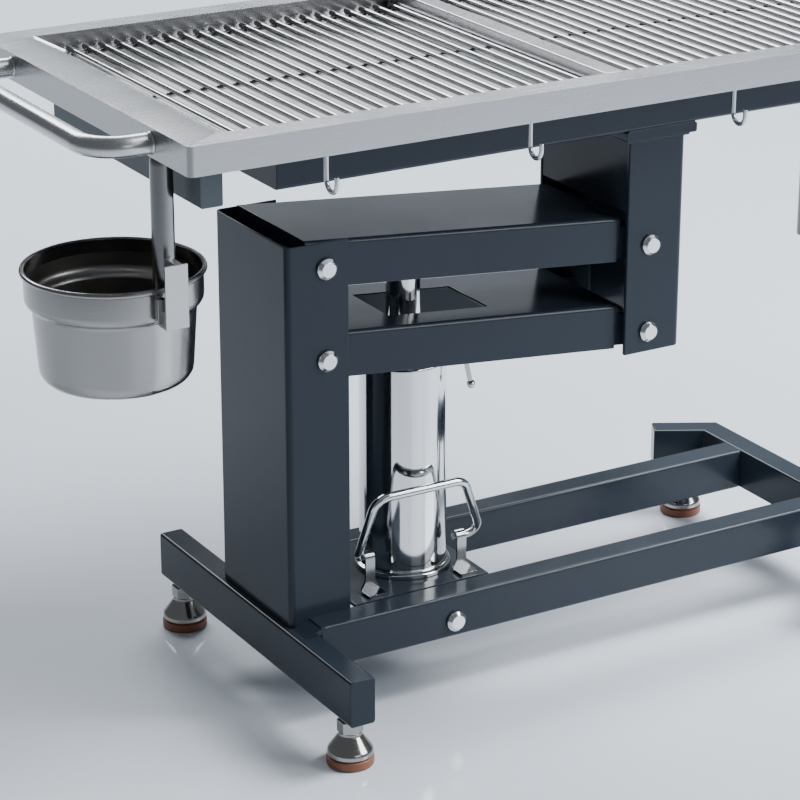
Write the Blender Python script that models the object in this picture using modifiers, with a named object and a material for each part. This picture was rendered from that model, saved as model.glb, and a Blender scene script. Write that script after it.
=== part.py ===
"""Hydraulic veterinary operating table: a tray with lift-out grates on a foot-pumped parallelogram stand.

Metres, +Z up. X runs along the table and Y across it. The pieces are laid out from the floor under the
middle of the tray. The last step moves them along X, so that the origin is under the middle of the object.
"""

import math

import bmesh
import bpy
from mathutils import Matrix, Vector

MM = 0.001
GAP = 0.3 * MM

# Tray
TABLE_LENGTH = 1200 * MM
TABLE_WIDTH = 600 * MM
TABLE_TOP = 864 * MM
SKIRT = 36 * MM
SHEET = 2 * MM
CORNER_RADIUS = 9 * MM
RECESS_BORDER = (54.5 * MM, 37.2 * MM)
RECESS_LENGTH = TABLE_LENGTH - 2 * RECESS_BORDER[0]
RECESS_WIDTH = TABLE_WIDTH - 2 * RECESS_BORDER[1]
RAMP_RUN = 43.5 * MM
GRATE_DROP = 15.3 * MM
LEDGE_WIDTH = 14.8 * MM
FLOOR_DROP_END = 50.5 * MM
FLOOR_DROP_MIDDLE = 44 * MM

# Grates
ROD_D = 8 * MM
ROD_COUNT = 22
ROD_END_GAP = 7.8 * MM
ROD_LENGTH = RECESS_WIDTH - 2 * ROD_END_GAP
ROD_SIDES = 6
CROSS_ROD_D = 6 * MM
CROSS_ROD_INSET = 15 * MM
CROSS_ROD_Y = (CROSS_ROD_INSET - ROD_LENGTH / 2, 0.0, ROD_LENGTH / 2 - CROSS_ROD_INSET)
DIVIDER_WIDTH = 26 * MM

# End handles
HANDLE_D = 26 * MM
HANDLE_INSET = 100 * MM
HANDLE_Y = TABLE_WIDTH / 2 - HANDLE_INSET
HANDLE_REACH = 70 * MM
HANDLE_BEND = 45 * MM

# Frame under the tray
FRAME_END_INSET = 59 * MM
FRAME_TUBE = 29 * MM
FRAME_TUBE_INSET = 92 * MM
FRAME_TUBE_Y = TABLE_WIDTH / 2 - FRAME_TUBE_INSET
FRAME_DROP = 106 * MM
FRAME_BOTTOM = TABLE_TOP - FRAME_DROP
FRAME_RAIL = 30 * MM
VENT_D = 8 * MM
SUBFRAME_X = (-390 * MM, 425 * MM)
SUBFRAME_WIDTH = 224 * MM
SUBFRAME_DROP = 26 * MM
SUBFRAME_BOTTOM = FRAME_BOTTOM - SUBFRAME_DROP
PLATE = 3 * MM

# Lift linkage, at the height of the photo
REAR_PIVOT_X = -314 * MM
PIVOT_DROP = 116.5 * MM
PIVOT_SPACING = 122.5 * MM
UPPER_PIVOT_Z = SUBFRAME_BOTTOM - PIVOT_DROP
LOWER_PIVOT_Z = UPPER_PIVOT_Z - PIVOT_SPACING
ARM_LENGTH = 489 * MM
ARM_ANGLE = math.radians(-5.2)
ARM_WIDTH = 187.2 * MM
ARM_TOP = 35.5 * MM
ARM_BOTTOM = -25.5 * MM
ARM_START = -31 * MM
ARM_SETBACK = 42 * MM
ARM_END = ARM_LENGTH - ARM_SETBACK
ARM_BEND = 6 * MM
LUG = 8 * MM
LUG_RADIUS = 22 * MM
LIP_DROP = 18 * MM
WINDOW = (116 * MM, 267 * MM)
WINDOW_WIDTH = 96.4 * MM

# Columns
COLUMN_X = (-371 * MM, -282 * MM)
COLUMN_WIDTH = 194 * MM
COLUMN_RISE = 34.5 * MM
COLUMN_TOP = UPPER_PIVOT_Z + COLUMN_RISE
COLUMN_BEND = 8 * MM
FRONT_BACK = 37 * MM
FRONT_DEPTH = 90 * MM
FRONT_WIDTH = 215 * MM
FRONT_FOOT = 29.1 * MM
FRONT_PANEL_LIFT = 48 * MM
FRONT_PLATE = 6 * MM
HEAD_OVERHANG = (8.5 * MM, 13.5 * MM)
HEAD_HEIGHT = 13.4 * MM
HEAD_STEP_OVERHANG = (7 * MM, 3 * MM)
HEAD_STEP = 3 * MM

# Pivot bolts and bushes
BOLT_D = 16 * MM
BOLT_HEAD_D = 28.5 * MM
BOLT_HEAD = 8 * MM
BOLT_CHAMFER = 4 * MM
NUT_AF = 26 * MM
NUT_HEIGHT = 13 * MM
BUSH_D = 28 * MM

# Base
BEAM_X = (-381 * MM, -345 * MM)
BEAM_HALF = 271.7 * MM
BEAM_Z = (67 * MM, 131 * MM)
RAIL_Y = (92.2 * MM, 132.4 * MM)
RAIL_Z = (81 * MM, 141 * MM)
CROSS_X = (493 * MM, 531 * MM)
CROSS_HALF = 206 * MM
LEG_DX = -87 * MM
LEG_DY = 48 * MM
TUBE_RADIUS = 4 * MM
TUBE_WALL = 2.5 * MM

# Levelling feet
FOOT_X = -362.5 * MM
FOOT_Y = 237 * MM
LEG_FOOT_X = 478 * MM
LEG_FOOT_Y = 219 * MM
PAD_D = 62 * MM
PAD_HEIGHT = 14 * MM
CONE_TOP_D = 27 * MM
CONE_TOP_Z = 44 * MM
FOOT_NUT_AF = 30 * MM
FOOT_NUT_TOP = 61 * MM
STUD_D = 16 * MM
STUD_TOP = 112 * MM

# Pump
PUMP_X = -146 * MM
CYLINDER_D = 118 * MM
CYLINDER_WALL = 4 * MM
CYLINDER_DROP = 56 * MM
CYLINDER_TOP = LOWER_PIVOT_Z - CYLINDER_DROP
CYLINDER_FLOOR = 8 * MM
RING_D = 131 * MM
RING_HEIGHT = 9 * MM
RAM_D = 46 * MM
RAM_LIFT = 33 * MM
GLAND_SINK = 4 * MM
GLAND_HEIGHT = 11 * MM
GLAND_BOSS_D = 74 * MM
GLAND_BOSS = 12 * MM
ROLLER_D = 28 * MM
ROLLER_LENGTH = 26 * MM
ROLLER_PIN_D = 9 * MM
ROLLER_REST_GAP = 0.9 * MM
BASE_PLATE_X = (-271 * MM, -65.5 * MM)
BASE_PLATE = 6 * MM
BASE_PLATE_FLANGE = 48 * MM
RAIL_BOLT_X = -142 * MM
RAIL_BOLT_Z = 104 * MM

# Foot pedal and release lever
PEDAL_WIRE = 10 * MM
PEDAL_Y = -57 * MM
PEDAL_Z = 188 * MM
PEDAL_X = (-250 * MM, -58 * MM)
PEDAL_BAR_X = (-236 * MM, -101 * MM)
PEDAL_BAR_Y = -85 * MM
PEDAL_BAR_Z = 281 * MM
BRACKET_X = (-234 * MM, -92 * MM)
BRACKET = 3.5 * MM
BRACKET_WIDTH = 14 * MM
BRACKET_FOOT = 20 * MM
LEVER_WIRE = 7 * MM
LEVER_ANGLE = math.radians(-37)
LEVER_DROP = 6.5 * MM
LEVER_REACH = 82 * MM
LEVER_BALL_D = 12 * MM

# Hooks, drain pipes and bucket
HOOK_X = (-408 * MM, -126 * MM, 178 * MM, 462 * MM)
HOOK_INSET = 30 * MM
HOOK_Y = TABLE_WIDTH / 2 - HOOK_INSET
HOOK_WIRE = 5.8 * MM
HOOK_RADIUS = 12.5 * MM
HOOK_BEND_DROP = 73.5 * MM
HOOK_TIP = 8.5 * MM
HOOK_BEND_Z = TABLE_TOP - HOOK_BEND_DROP
HOOK_TIP_Z = HOOK_BEND_Z + HOOK_TIP
PIPE_D = 28 * MM
PIPE_WALL = 1.5 * MM
PIPE_BEND = 24 * MM
PIPE_OUT = 62 * MM
LEFT_PIPE_Y = -152 * MM
LEFT_PIPE_DROP = 218 * MM
RIGHT_PIPE_Y = 54 * MM
RIGHT_PIPE_DROP = 385 * MM
BUCKET_OUT = 27 * MM
BUCKET_Y = -66 * MM
BUCKET_DROP = 209 * MM
BUCKET_RIM_R = 114 * MM
BUCKET_ROLL_R = 3.5 * MM
BUCKET_BAND_R = 109.5 * MM
BUCKET_BAND = 41 * MM
BUCKET_BODY_R = 100.5 * MM
BUCKET_FOOT_R = 95 * MM
BUCKET_HEIGHT = 140 * MM
BUCKET_WALL = 1.4 * MM
HANGER_OUT = 22 * MM
HANGER_WIDTH = 30 * MM
HANGER_Y = -200 * MM
HANGER_HEIGHT = 79 * MM
HANGER_DROP = 42 * MM
HANGER_LIP_DROP = 9.7 * MM
TAB_DROP = 15 * MM

HALF_LENGTH = TABLE_LENGTH / 2
HALF_WIDTH = TABLE_WIDTH / 2
SKIRT_BOTTOM = TABLE_TOP - SKIRT
ROD_TOP = TABLE_TOP - GRATE_DROP
LEDGE_Z = ROD_TOP - ROD_D - GAP
RAMP_END = RECESS_LENGTH / 2 - RAMP_RUN
BASIN_HALF = RECESS_WIDTH / 2 - LEDGE_WIDTH
FLOOR_END_Z = TABLE_TOP - FLOOR_DROP_END
FLOOR_MIDDLE_Z = TABLE_TOP - FLOOR_DROP_MIDDLE
FRAME_TOP = FLOOR_END_Z - SHEET - GAP
FRAME_TUBE_X = (FRAME_END_INSET - HALF_LENGTH, FRAME_END_INSET + FRAME_TUBE - HALF_LENGTH)
PIPE_X = RAMP_END + PIPE_OUT
BUCKET_AT = (-PIPE_X - BUCKET_OUT, BUCKET_Y)
HANGER_X = (-PIPE_X - HANGER_OUT, -PIPE_X - HANGER_OUT + HANGER_WIDTH)
FRONT_PIVOT_DX = ARM_LENGTH * math.cos(ARM_ANGLE)
FRONT_PIVOT_DZ = ARM_LENGTH * math.sin(ARM_ANGLE)
FRONT_PIVOT_X = REAR_PIVOT_X + FRONT_PIVOT_DX
FRONT_X = (FRONT_PIVOT_X - FRONT_BACK, FRONT_PIVOT_X - FRONT_BACK + FRONT_DEPTH)
FRONT_BOTTOM = LOWER_PIVOT_Z + FRONT_PIVOT_DZ - FRONT_FOOT
HEAD_X = (FRONT_X[0] - HEAD_OVERHANG[0], FRONT_X[1] + HEAD_OVERHANG[1])
HEAD_STEP_X = (FRONT_X[0] - HEAD_STEP_OVERHANG[0], FRONT_X[1] + HEAD_STEP_OVERHANG[1])
RAM_BOTTOM = RAIL_Z[1] + GAP + CYLINDER_FLOOR + RAM_LIFT
GLAND_TOP = CYLINDER_TOP - GLAND_SINK
GLAND_BOTTOM = GLAND_TOP - GLAND_HEIGHT
GLAND_BOSS_TOP = CYLINDER_TOP + GLAND_BOSS
LEVER_Z = GLAND_BOSS_TOP - LEVER_DROP
BUCKET_RIM_Z = TABLE_TOP - BUCKET_DROP
HANGER_BOTTOM = BUCKET_RIM_Z - HANGER_DROP
HANGER_TOP = HANGER_BOTTOM + HANGER_HEIGHT
HANGER_LIP_TOP = BUCKET_RIM_Z - HANGER_LIP_DROP
PIPE_Z = FLOOR_END_Z + PIPE_D / 2 - PIPE_WALL

bpy.ops.object.select_all(action="DESELECT")
for old in list(bpy.data.objects):
    bpy.data.objects.remove(old, do_unlink=True)

PARTS = bpy.data.collections.new("hydraulic_operating_table")
CUTTERS = bpy.data.collections.new("cutters")
CUTTERS.hide_render = True
bpy.context.scene.collection.children.link(PARTS)
bpy.context.scene.collection.children.link(CUTTERS)


def material(name, colour, metallic, roughness):
    made = bpy.data.materials.new(name)
    made.use_nodes = True
    shader = made.node_tree.nodes["Principled BSDF"]
    shader.inputs["Base Color"].default_value = (*colour, 1.0)
    shader.inputs["Metallic"].default_value = metallic
    shader.inputs["Roughness"].default_value = roughness
    return made


BRUSHED = material("brushed_stainless", (0.62, 0.63, 0.65), 1.0, 0.32)
CHROME = material("chrome", (0.72, 0.73, 0.75), 1.0, 0.1)
COATED = material("slate_powder_coat", (0.04, 0.055, 0.075), 0.0, 0.42)
FRAME_GREY = material("grey_powder_coat", (0.17, 0.2, 0.23), 0.0, 0.45)
POLISHED = material("polished_steel", (0.75, 0.76, 0.78), 1.0, 0.18)
NICKEL = material("satin_nickel", (0.55, 0.52, 0.47), 1.0, 0.28)
RUBBER = material("tan_rubber", (0.33, 0.1, 0.035), 0.0, 0.75)


def mesh_object(name, mesh):
    obj = bpy.data.objects.new(name, mesh)
    PARTS.objects.link(obj)
    return obj


def cleaned(mesh):
    """Welds a mesh's loose seams and points its faces outwards."""
    bm = bmesh.new()
    bm.from_mesh(mesh)
    bmesh.ops.remove_doubles(bm, verts=bm.verts, dist=0.005 * MM)
    bmesh.ops.recalc_face_normals(bm, faces=bm.faces)
    bm.to_mesh(mesh)
    bm.free()
    return mesh


def evaluated_mesh(obj):
    """Replaces an object with the plain mesh that its curve or modifiers make."""
    bpy.context.view_layer.update()
    graph = bpy.context.evaluated_depsgraph_get()
    mesh = bpy.data.meshes.new_from_object(obj.evaluated_get(graph))
    name = obj.name
    bpy.data.objects.remove(obj, do_unlink=True)
    return mesh_object(name, cleaned(mesh))


def extrusion(name, outlines, axis, low, high):
    """A flat outline, with any holes after it, pushed along one axis.

    The outline is (y, z) along X, (x, z) along Y, and (x, y) along Z.
    """
    if not isinstance(outlines[0][0], (tuple, list)):
        outlines = [outlines]
    curve = bpy.data.curves.new(name, "CURVE")
    curve.dimensions = "2D"
    curve.fill_mode = "BOTH"
    curve.extrude = (high - low) / 2
    for outline in outlines:
        spline = curve.splines.new("POLY")
        spline.points.add(len(outline) - 1)
        for point, (a, b) in zip(spline.points, outline):
            point.co = (a, b, 0, 1)
        spline.use_cyclic_u = True
    obj = bpy.data.objects.new(name, curve)
    PARTS.objects.link(obj)
    obj = evaluated_mesh(obj)
    middle = (low + high) / 2
    if axis == "X":
        turn = Matrix(((0, 0, 1, middle), (1, 0, 0, 0), (0, 1, 0, 0), (0, 0, 0, 1)))
    elif axis == "Y":
        turn = Matrix(((1, 0, 0, 0), (0, 0, -1, middle), (0, 1, 0, 0), (0, 0, 0, 1)))
    else:
        turn = Matrix.Translation((0, 0, middle))
    obj.data.transform(turn)
    return obj


def box(name, x, y, z):
    bm = bmesh.new()
    size = Vector((x[1] - x[0], y[1] - y[0], z[1] - z[0]))
    middle = Vector((sum(x) / 2, sum(y) / 2, sum(z) / 2))
    bmesh.ops.create_cube(bm, size=1, matrix=Matrix.Translation(middle) @ Matrix.Diagonal((*size, 1)))
    mesh = bpy.data.meshes.new(name)
    bm.to_mesh(mesh)
    bm.free()
    return mesh_object(name, mesh)


def arc(centre, radius, start, end, steps):
    """Points on a circle from one angle to another, in degrees."""
    points = []
    for step in range(steps + 1):
        angle = math.radians(start + (end - start) * step / steps)
        points.append((centre[0] + radius * math.cos(angle), centre[1] + radius * math.sin(angle)))
    return points


def rounded_rectangle(a, b, radius, steps=3):
    """Outline of a rectangle between a = (low, high) and b = (low, high) with round corners."""
    outline = arc((a[1] - radius, b[1] - radius), radius, 0, 90, steps)
    outline += arc((a[0] + radius, b[1] - radius), radius, 90, 180, steps)
    outline += arc((a[0] + radius, b[0] + radius), radius, 180, 270, steps)
    outline += arc((a[1] - radius, b[0] + radius), radius, 270, 360, steps)
    return outline


def channel_outline(back, front, width, radius, wall, steps=4):
    """U section with its web at `back`, its legs ending at `front`, in (depth, across) terms."""
    half = width / 2
    way = 1 if front > back else -1
    inner = radius - wall
    outer_low = arc((radius, -half + radius), radius, 270, 180, steps)
    outer_high = arc((radius, half - radius), radius, 180, 90, steps)
    inner_high = arc((radius, half - radius), inner, 90, 180, steps)
    inner_low = arc((radius, -half + radius), inner, 180, 270, steps)
    depth = abs(front - back)
    outline = [(depth, -half)] + outer_low + outer_high + [(depth, half), (depth, half - wall)]
    outline += inner_high + inner_low + [(depth, -half + wall)]
    return [(back + way * a, b) for a, b in outline]


def cylinder(name, start, end, radius, sides=24):
    """A plain round bar between two points."""
    start = Vector(start)
    end = Vector(end)
    along = end - start
    turn = along.to_track_quat("Z", "Y").to_matrix().to_4x4()
    bm = bmesh.new()
    bmesh.ops.create_cone(
        bm, cap_ends=True, segments=sides, radius1=radius, radius2=radius, depth=along.length,
        matrix=Matrix.Translation((start + end) / 2) @ turn,
    )
    mesh = bpy.data.meshes.new(name)
    bm.to_mesh(mesh)
    bm.free()
    return mesh_object(name, mesh)


def lathe(name, profile, at=(0, 0, 0), axis="Z", steps=32):
    """Turns a profile of (radius, height) points, running from top to bottom down the outer side."""
    mesh = bpy.data.meshes.new(name)
    edges = [(i, i + 1) for i in range(len(profile) - 1)]
    if profile[0][0] > 0:
        edges.append((len(profile) - 1, 0))
    mesh.from_pydata([(radius, 0, height) for radius, height in profile], edges, [])
    obj = mesh_object(name, mesh)
    screw = obj.modifiers.new("Turn", "SCREW")
    screw.axis = "Z"
    screw.steps = steps
    screw.render_steps = steps
    screw.use_merge_vertices = True
    screw.merge_threshold = 0.00001
    obj = evaluated_mesh(obj)
    turn = Matrix.Identity(4)
    if axis == "-Y":
        turn = Matrix.Rotation(math.radians(90), 4, "X")
    elif axis == "Y":
        turn = Matrix.Rotation(math.radians(-90), 4, "X")
    obj.data.transform(Matrix.Translation(at) @ turn)
    return obj


def fillet(points, radius, steps=6):
    """A 3-D path with each inner corner replaced by an arc."""
    points = [Vector(p) for p in points]
    radii = radius if isinstance(radius, (list, tuple)) else [radius] * (len(points) - 2)
    path = [points[0]]
    for before, corner, after, bend in zip(points, points[1:], points[2:], radii):
        back = (before - corner).normalized()
        ahead = (after - corner).normalized()
        half = back.angle(ahead) / 2
        reach = bend / math.tan(half)
        centre = corner + (back + ahead).normalized() * (bend / math.sin(half))
        first = corner + back * reach - centre
        last = corner + ahead * reach - centre
        sweep = first.angle(last)
        normal = first.cross(last).normalized()
        for step in range(steps + 1):
            path.append(centre + Matrix.Rotation(sweep * step / steps, 3, normal) @ first)
    path.append(points[-1])
    return path


def wire(name, path, radius, rings=2):
    """A round wire or tube blank along a path, with closed ends."""
    curve = bpy.data.curves.new(name, "CURVE")
    curve.dimensions = "3D"
    curve.bevel_depth = radius
    curve.bevel_resolution = rings
    curve.use_fill_caps = True
    spline = curve.splines.new("POLY")
    spline.points.add(len(path) - 1)
    for point, place in zip(spline.points, path):
        point.co = (*place, 1)
    obj = bpy.data.objects.new(name, curve)
    PARTS.objects.link(obj)
    return evaluated_mesh(obj)


def combine(target, other, operation):
    modifier = target.modifiers.new(f"{operation.title()} {other.name}", "BOOLEAN")
    modifier.operation = operation
    modifier.solver = "EXACT"
    modifier.object = other
    PARTS.objects.unlink(other)
    CUTTERS.objects.link(other)
    other.hide_render = True
    other.display_type = "WIRE"
    return target


def cut(target, *others):
    for other in others:
        combine(target, other, "DIFFERENCE")
    return target


def add(target, *others):
    for other in others:
        combine(target, other, "UNION")
    return target


def hexagon(name, across, axis, at, low, high):
    """A hexagonal bar along Y or Z, `across` wide over its flats."""
    corner = across / math.sqrt(3)
    first = 0 if axis == "Z" else 30
    outline = arc(at, corner, first, first + 360, 6)[:-1]
    return extrusion(name, outline, axis, low, high)


def finish(obj, look, origin=None):
    """Gives a piece its material, smooth round faces, and an origin on its joint axis."""
    obj.data.materials.clear()
    obj.data.materials.append(look)
    for polygon in obj.data.polygons:
        polygon.use_smooth = True
    obj.data.set_sharp_from_angle(angle=math.radians(35))
    if origin is not None:
        origin = Vector(origin)
        obj.data.transform(Matrix.Translation(-origin))
        obj.location = origin
    return obj


def ridge(name, half_x, half_y, top, end_z, middle_z):
    """A block whose underside is lowest at both ends, as the basin floor is."""
    outline = [(-half_x, top), (-half_x, end_z), (0, middle_z), (half_x, end_z), (half_x, top)]
    return extrusion(name, outline, "Y", -half_y, half_y)


# Tray: folded skirt, flat rim, a recess with sloping ends, a ledge for the grates and a basin under them

def make_tray():
    rim = rounded_rectangle((-HALF_LENGTH, HALF_LENGTH), (-HALF_WIDTH, HALF_WIDTH), CORNER_RADIUS, 5)
    tray = extrusion("tray", rim, "Z", SKIRT_BOTTOM, TABLE_TOP)
    bm = bmesh.new()
    bm.from_mesh(tray.data)
    top = [e for e in bm.edges if all(v.co.z > TABLE_TOP - MM for v in e.verts) and len(e.link_faces) == 2]
    top = [e for e in top if abs(e.link_faces[0].normal.z - e.link_faces[1].normal.z) > 0.5]
    bmesh.ops.bevel(bm, geom=top, offset=2.5 * MM, segments=3, profile=0.5, affect="EDGES")
    bm.to_mesh(tray.data)
    bm.free()
    hollow = rounded_rectangle(
        (-HALF_LENGTH + SHEET, HALF_LENGTH - SHEET), (-HALF_WIDTH + SHEET, HALF_WIDTH - SHEET),
        CORNER_RADIUS - SHEET, 5,
    )
    cut(tray, extrusion("tray_hollow", hollow, "Z", SKIRT_BOTTOM - 5 * MM, TABLE_TOP - SHEET))
    recess_x = RECESS_LENGTH / 2
    half_y = RECESS_WIDTH / 2
    shell = [
        (-recess_x - SHEET, TABLE_TOP - SHEET / 2), (-recess_x - SHEET, TABLE_TOP - SHEET),
        (-RAMP_END - SHEET, LEDGE_Z - SHEET), (RAMP_END + SHEET, LEDGE_Z - SHEET),
        (recess_x + SHEET, TABLE_TOP - SHEET), (recess_x + SHEET, TABLE_TOP - SHEET / 2),
    ]
    add(tray, extrusion("recess_shell", shell, "Y", -half_y - SHEET, half_y + SHEET))
    add(tray, ridge(
        "basin_shell", RAMP_END + SHEET, BASIN_HALF + SHEET, LEDGE_Z - SHEET / 2,
        FLOOR_END_Z - SHEET, FLOOR_MIDDLE_Z - SHEET,
    ))
    recess = [
        (-recess_x, TABLE_TOP + MM), (-recess_x, TABLE_TOP), (-RAMP_END, LEDGE_Z),
        (RAMP_END, LEDGE_Z), (recess_x, TABLE_TOP), (recess_x, TABLE_TOP + MM),
    ]
    cut(tray, extrusion("recess_space", recess, "Y", -half_y, half_y))
    cut(tray, ridge("basin_space", RAMP_END, BASIN_HALF, LEDGE_Z + MM, FLOOR_END_Z, FLOOR_MIDDLE_Z))
    for side, pipe_y in ((-1, LEFT_PIPE_Y), (1, RIGHT_PIPE_Y)):
        start = (side * (RAMP_END - 8 * MM), pipe_y, PIPE_Z)
        end = (side * (RAMP_END + 8 * MM), pipe_y, PIPE_Z)
        cut(tray, cylinder(f"outlet{side}", start, end, PIPE_D / 2 + GAP, 24))
    return finish(tray, BRUSHED)


def make_divider():
    half_x = DIVIDER_WIDTH / 2
    half_y = RECESS_WIDTH / 2 - GAP
    bottom = LEDGE_Z + GAP
    outline = [
        (-half_x, bottom), (-half_x, TABLE_TOP - MM), (-half_x + MM, TABLE_TOP), (half_x - MM, TABLE_TOP),
        (half_x, TABLE_TOP - MM), (half_x, bottom), (half_x - SHEET, bottom),
        (half_x - SHEET, TABLE_TOP - SHEET),
        (-half_x + SHEET, TABLE_TOP - SHEET), (-half_x + SHEET, bottom),
    ]
    return finish(extrusion("divider_bar", outline, "Y", -half_y, half_y), BRUSHED)


def make_grate(name, side):
    first = RAMP_END - ROD_D / 2 - 0.4 * MM
    last = DIVIDER_WIDTH / 2 + ROD_D / 2 + 0.6 * MM
    pitch = (first - last) / (ROD_COUNT - 1)
    rods = bmesh.new()
    turn = Matrix.Rotation(math.radians(90), 4, "X")
    for index in range(ROD_COUNT):
        middle = Vector((side * (first - index * pitch), 0, ROD_TOP - ROD_D / 2))
        bmesh.ops.create_cone(
            rods, cap_ends=True, segments=ROD_SIDES, radius1=ROD_D / 2, radius2=ROD_D / 2, depth=ROD_LENGTH,
            matrix=Matrix.Translation(middle) @ turn,
        )
    mesh = bpy.data.meshes.new(f"{name}_rods")
    rods.to_mesh(mesh)
    rods.free()
    grate = mesh_object(name, mesh)
    cross_z = ROD_TOP - ROD_D - CROSS_ROD_D / 2 + MM
    for y in CROSS_ROD_Y:
        start = (side * (first + 2.5 * MM), y, cross_z)
        end = (side * (last - 2.5 * MM), y, cross_z)
        add(grate, cylinder(f"{name}_cross{y:.2f}", start, end, CROSS_ROD_D / 2, ROD_SIDES))
    middle = side * (first + last) / 2
    return finish(grate, POLISHED, (middle, 0, ROD_TOP - ROD_D / 2))


def make_handle(name, side):
    z = TABLE_TOP - SKIRT / 2 - MM
    root = side * (HALF_LENGTH + GAP)
    reach = side * (HALF_LENGTH + HANDLE_REACH)
    path = fillet(
        [(root, -HANDLE_Y, z), (reach, -HANDLE_Y, z), (reach, HANDLE_Y, z), (root, HANDLE_Y, z)],
        HANDLE_BEND, 6,
    )
    return finish(wire(name, path, HANDLE_D / 2, 4), BRUSHED)


def make_tray_frame():
    left = rounded_rectangle(FRAME_TUBE_X, (FRAME_BOTTOM, FRAME_TOP), 2 * MM, 2)
    frame = extrusion("tray_frame", left, "Y", -FRAME_TUBE_Y, FRAME_TUBE_Y)
    right_x = (-FRAME_TUBE_X[1], -FRAME_TUBE_X[0])
    right = rounded_rectangle(right_x, (FRAME_BOTTOM, FRAME_TOP), 2 * MM, 2)
    reach = -FRAME_TUBE_X[1] + 5 * MM
    outer = SUBFRAME_WIDTH / 2 - PLATE - GAP
    rail_z = (FRAME_TOP - FRAME_RAIL, FRAME_TOP - 0.05 * MM)
    for side in (-1, 1):
        across = sorted((side * outer, side * (outer - FRAME_RAIL)))
        add(frame, box(f"frame_rail{side}", (-reach, reach), across, rail_z))
    add(frame, extrusion("frame_right", right, "Y", -FRAME_TUBE_Y, FRAME_TUBE_Y))
    inside = FRAME_TUBE_Y - TUBE_WALL
    for side in (-1, 1):
        low, high = sorted((side * FRAME_TUBE_X[0], side * FRAME_TUBE_X[1]))
        hollow_z = shrunk((FRAME_BOTTOM, FRAME_TOP))
        cut(frame, box(f"frame_hollow{side}", shrunk((low, high)), (-inside, inside), hollow_z))
        across = shrunk(sorted((side * outer, side * (outer - FRAME_RAIL))))
        cut(frame, box(f"rail_hollow{side}", (-reach, reach), across, shrunk(rail_z)))
        middle = (low + high) / 2
        start = (middle, 0, FRAME_BOTTOM - 5 * MM)
        end = (middle, 0, FRAME_BOTTOM + 9 * MM)
        cut(frame, cylinder(f"vent{side}", start, end, VENT_D / 2, 12))
    return finish(frame, FRAME_GREY)


def make_subframe():
    outline = [
        (b, z) for z, b in channel_outline(SUBFRAME_BOTTOM, FRAME_TOP, SUBFRAME_WIDTH, 5 * MM, PLATE)
    ]
    subframe = extrusion("subframe", outline, "X", *SUBFRAME_X)
    half = SUBFRAME_WIDTH / 2 - PLATE + MM
    top = FRAME_TOP - FRAME_RAIL - GAP
    end_z = (SUBFRAME_BOTTOM + PLATE / 2, top)
    for start in (SUBFRAME_X[0], SUBFRAME_X[1] - PLATE):
        add(subframe, box(f"subframe_end{start:.2f}", (start, start + PLATE), (-half, half), end_z))
    return finish(subframe, COATED)


def make_head_plate():
    half = SUBFRAME_WIDTH / 2
    top = SUBFRAME_BOTTOM - GAP
    profile = rounded_rectangle(HEAD_X, (top - HEAD_HEIGHT, top), 2.5 * MM, 2)
    head = extrusion("head_plate", profile, "Y", -half, half)
    step_z = (top - HEAD_HEIGHT - HEAD_STEP, top - MM)
    step = box("head_step", HEAD_STEP_X, (-half + 2 * MM, half - 2 * MM), step_z)
    return finish(add(head, step), COATED)


def make_front_column():
    top = SUBFRAME_BOTTOM - HEAD_HEIGHT - HEAD_STEP - 2 * GAP
    outline = channel_outline(FRONT_X[1], FRONT_X[0], FRONT_WIDTH, 9 * MM, FRONT_PLATE)
    column = extrusion("front_column", outline, "Z", FRONT_BOTTOM, top)
    inner = FRONT_WIDTH / 2 - FRONT_PLATE
    upper = UPPER_PIVOT_Z + FRONT_PIVOT_DZ
    lower = LOWER_PIVOT_Z + FRONT_PIVOT_DZ
    panel_z = (upper + FRONT_PANEL_LIFT, top - MM)
    panel_x = (FRONT_X[0] + MM, FRONT_X[0] + MM + PLATE)
    add(column, box("front_panel", panel_x, (-inner - MM, inner + MM), panel_z))
    for label, z in (("upper", upper), ("lower", lower)):
        start = (FRONT_PIVOT_X, -FRONT_WIDTH, z)
        end = (FRONT_PIVOT_X, FRONT_WIDTH, z)
        hole = BOLT_D / 2 + GAP
        if label == "lower":
            hole = BOLT_D / 2 + 2 * GAP
        cut(column, cylinder(f"front_hole_{label}", start, end, hole, 24))
    return finish(column, COATED, (FRONT_PIVOT_X, 0, upper))


def make_fixed_column():
    outline = channel_outline(COLUMN_X[0], COLUMN_X[1], COLUMN_WIDTH, COLUMN_BEND, PLATE, 5)
    column = extrusion("fixed_column", outline, "Z", BEAM_Z[1] + GAP, COLUMN_TOP)
    wide = COLUMN_WIDTH
    notch_x = (BEAM_X[1] - 2 * GAP, COLUMN_X[1] + 5 * MM)
    cut(column, box("column_notch", notch_x, (-wide, wide), (BEAM_Z[1] - 5 * MM, RAIL_Z[1] + GAP)))
    for label, z in (("upper", UPPER_PIVOT_Z), ("lower", LOWER_PIVOT_Z)):
        start = (REAR_PIVOT_X, -wide, z)
        end = (REAR_PIVOT_X, wide, z)
        cut(column, cylinder(f"column_hole_{label}", start, end, BOLT_D / 2 + GAP, 24))
    return finish(column, COATED)


def arm_matrix(pivot_z):
    return Matrix.Translation((REAR_PIVOT_X, 0, pivot_z)) @ Matrix.Rotation(-ARM_ANGLE, 4, "Y")


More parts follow.
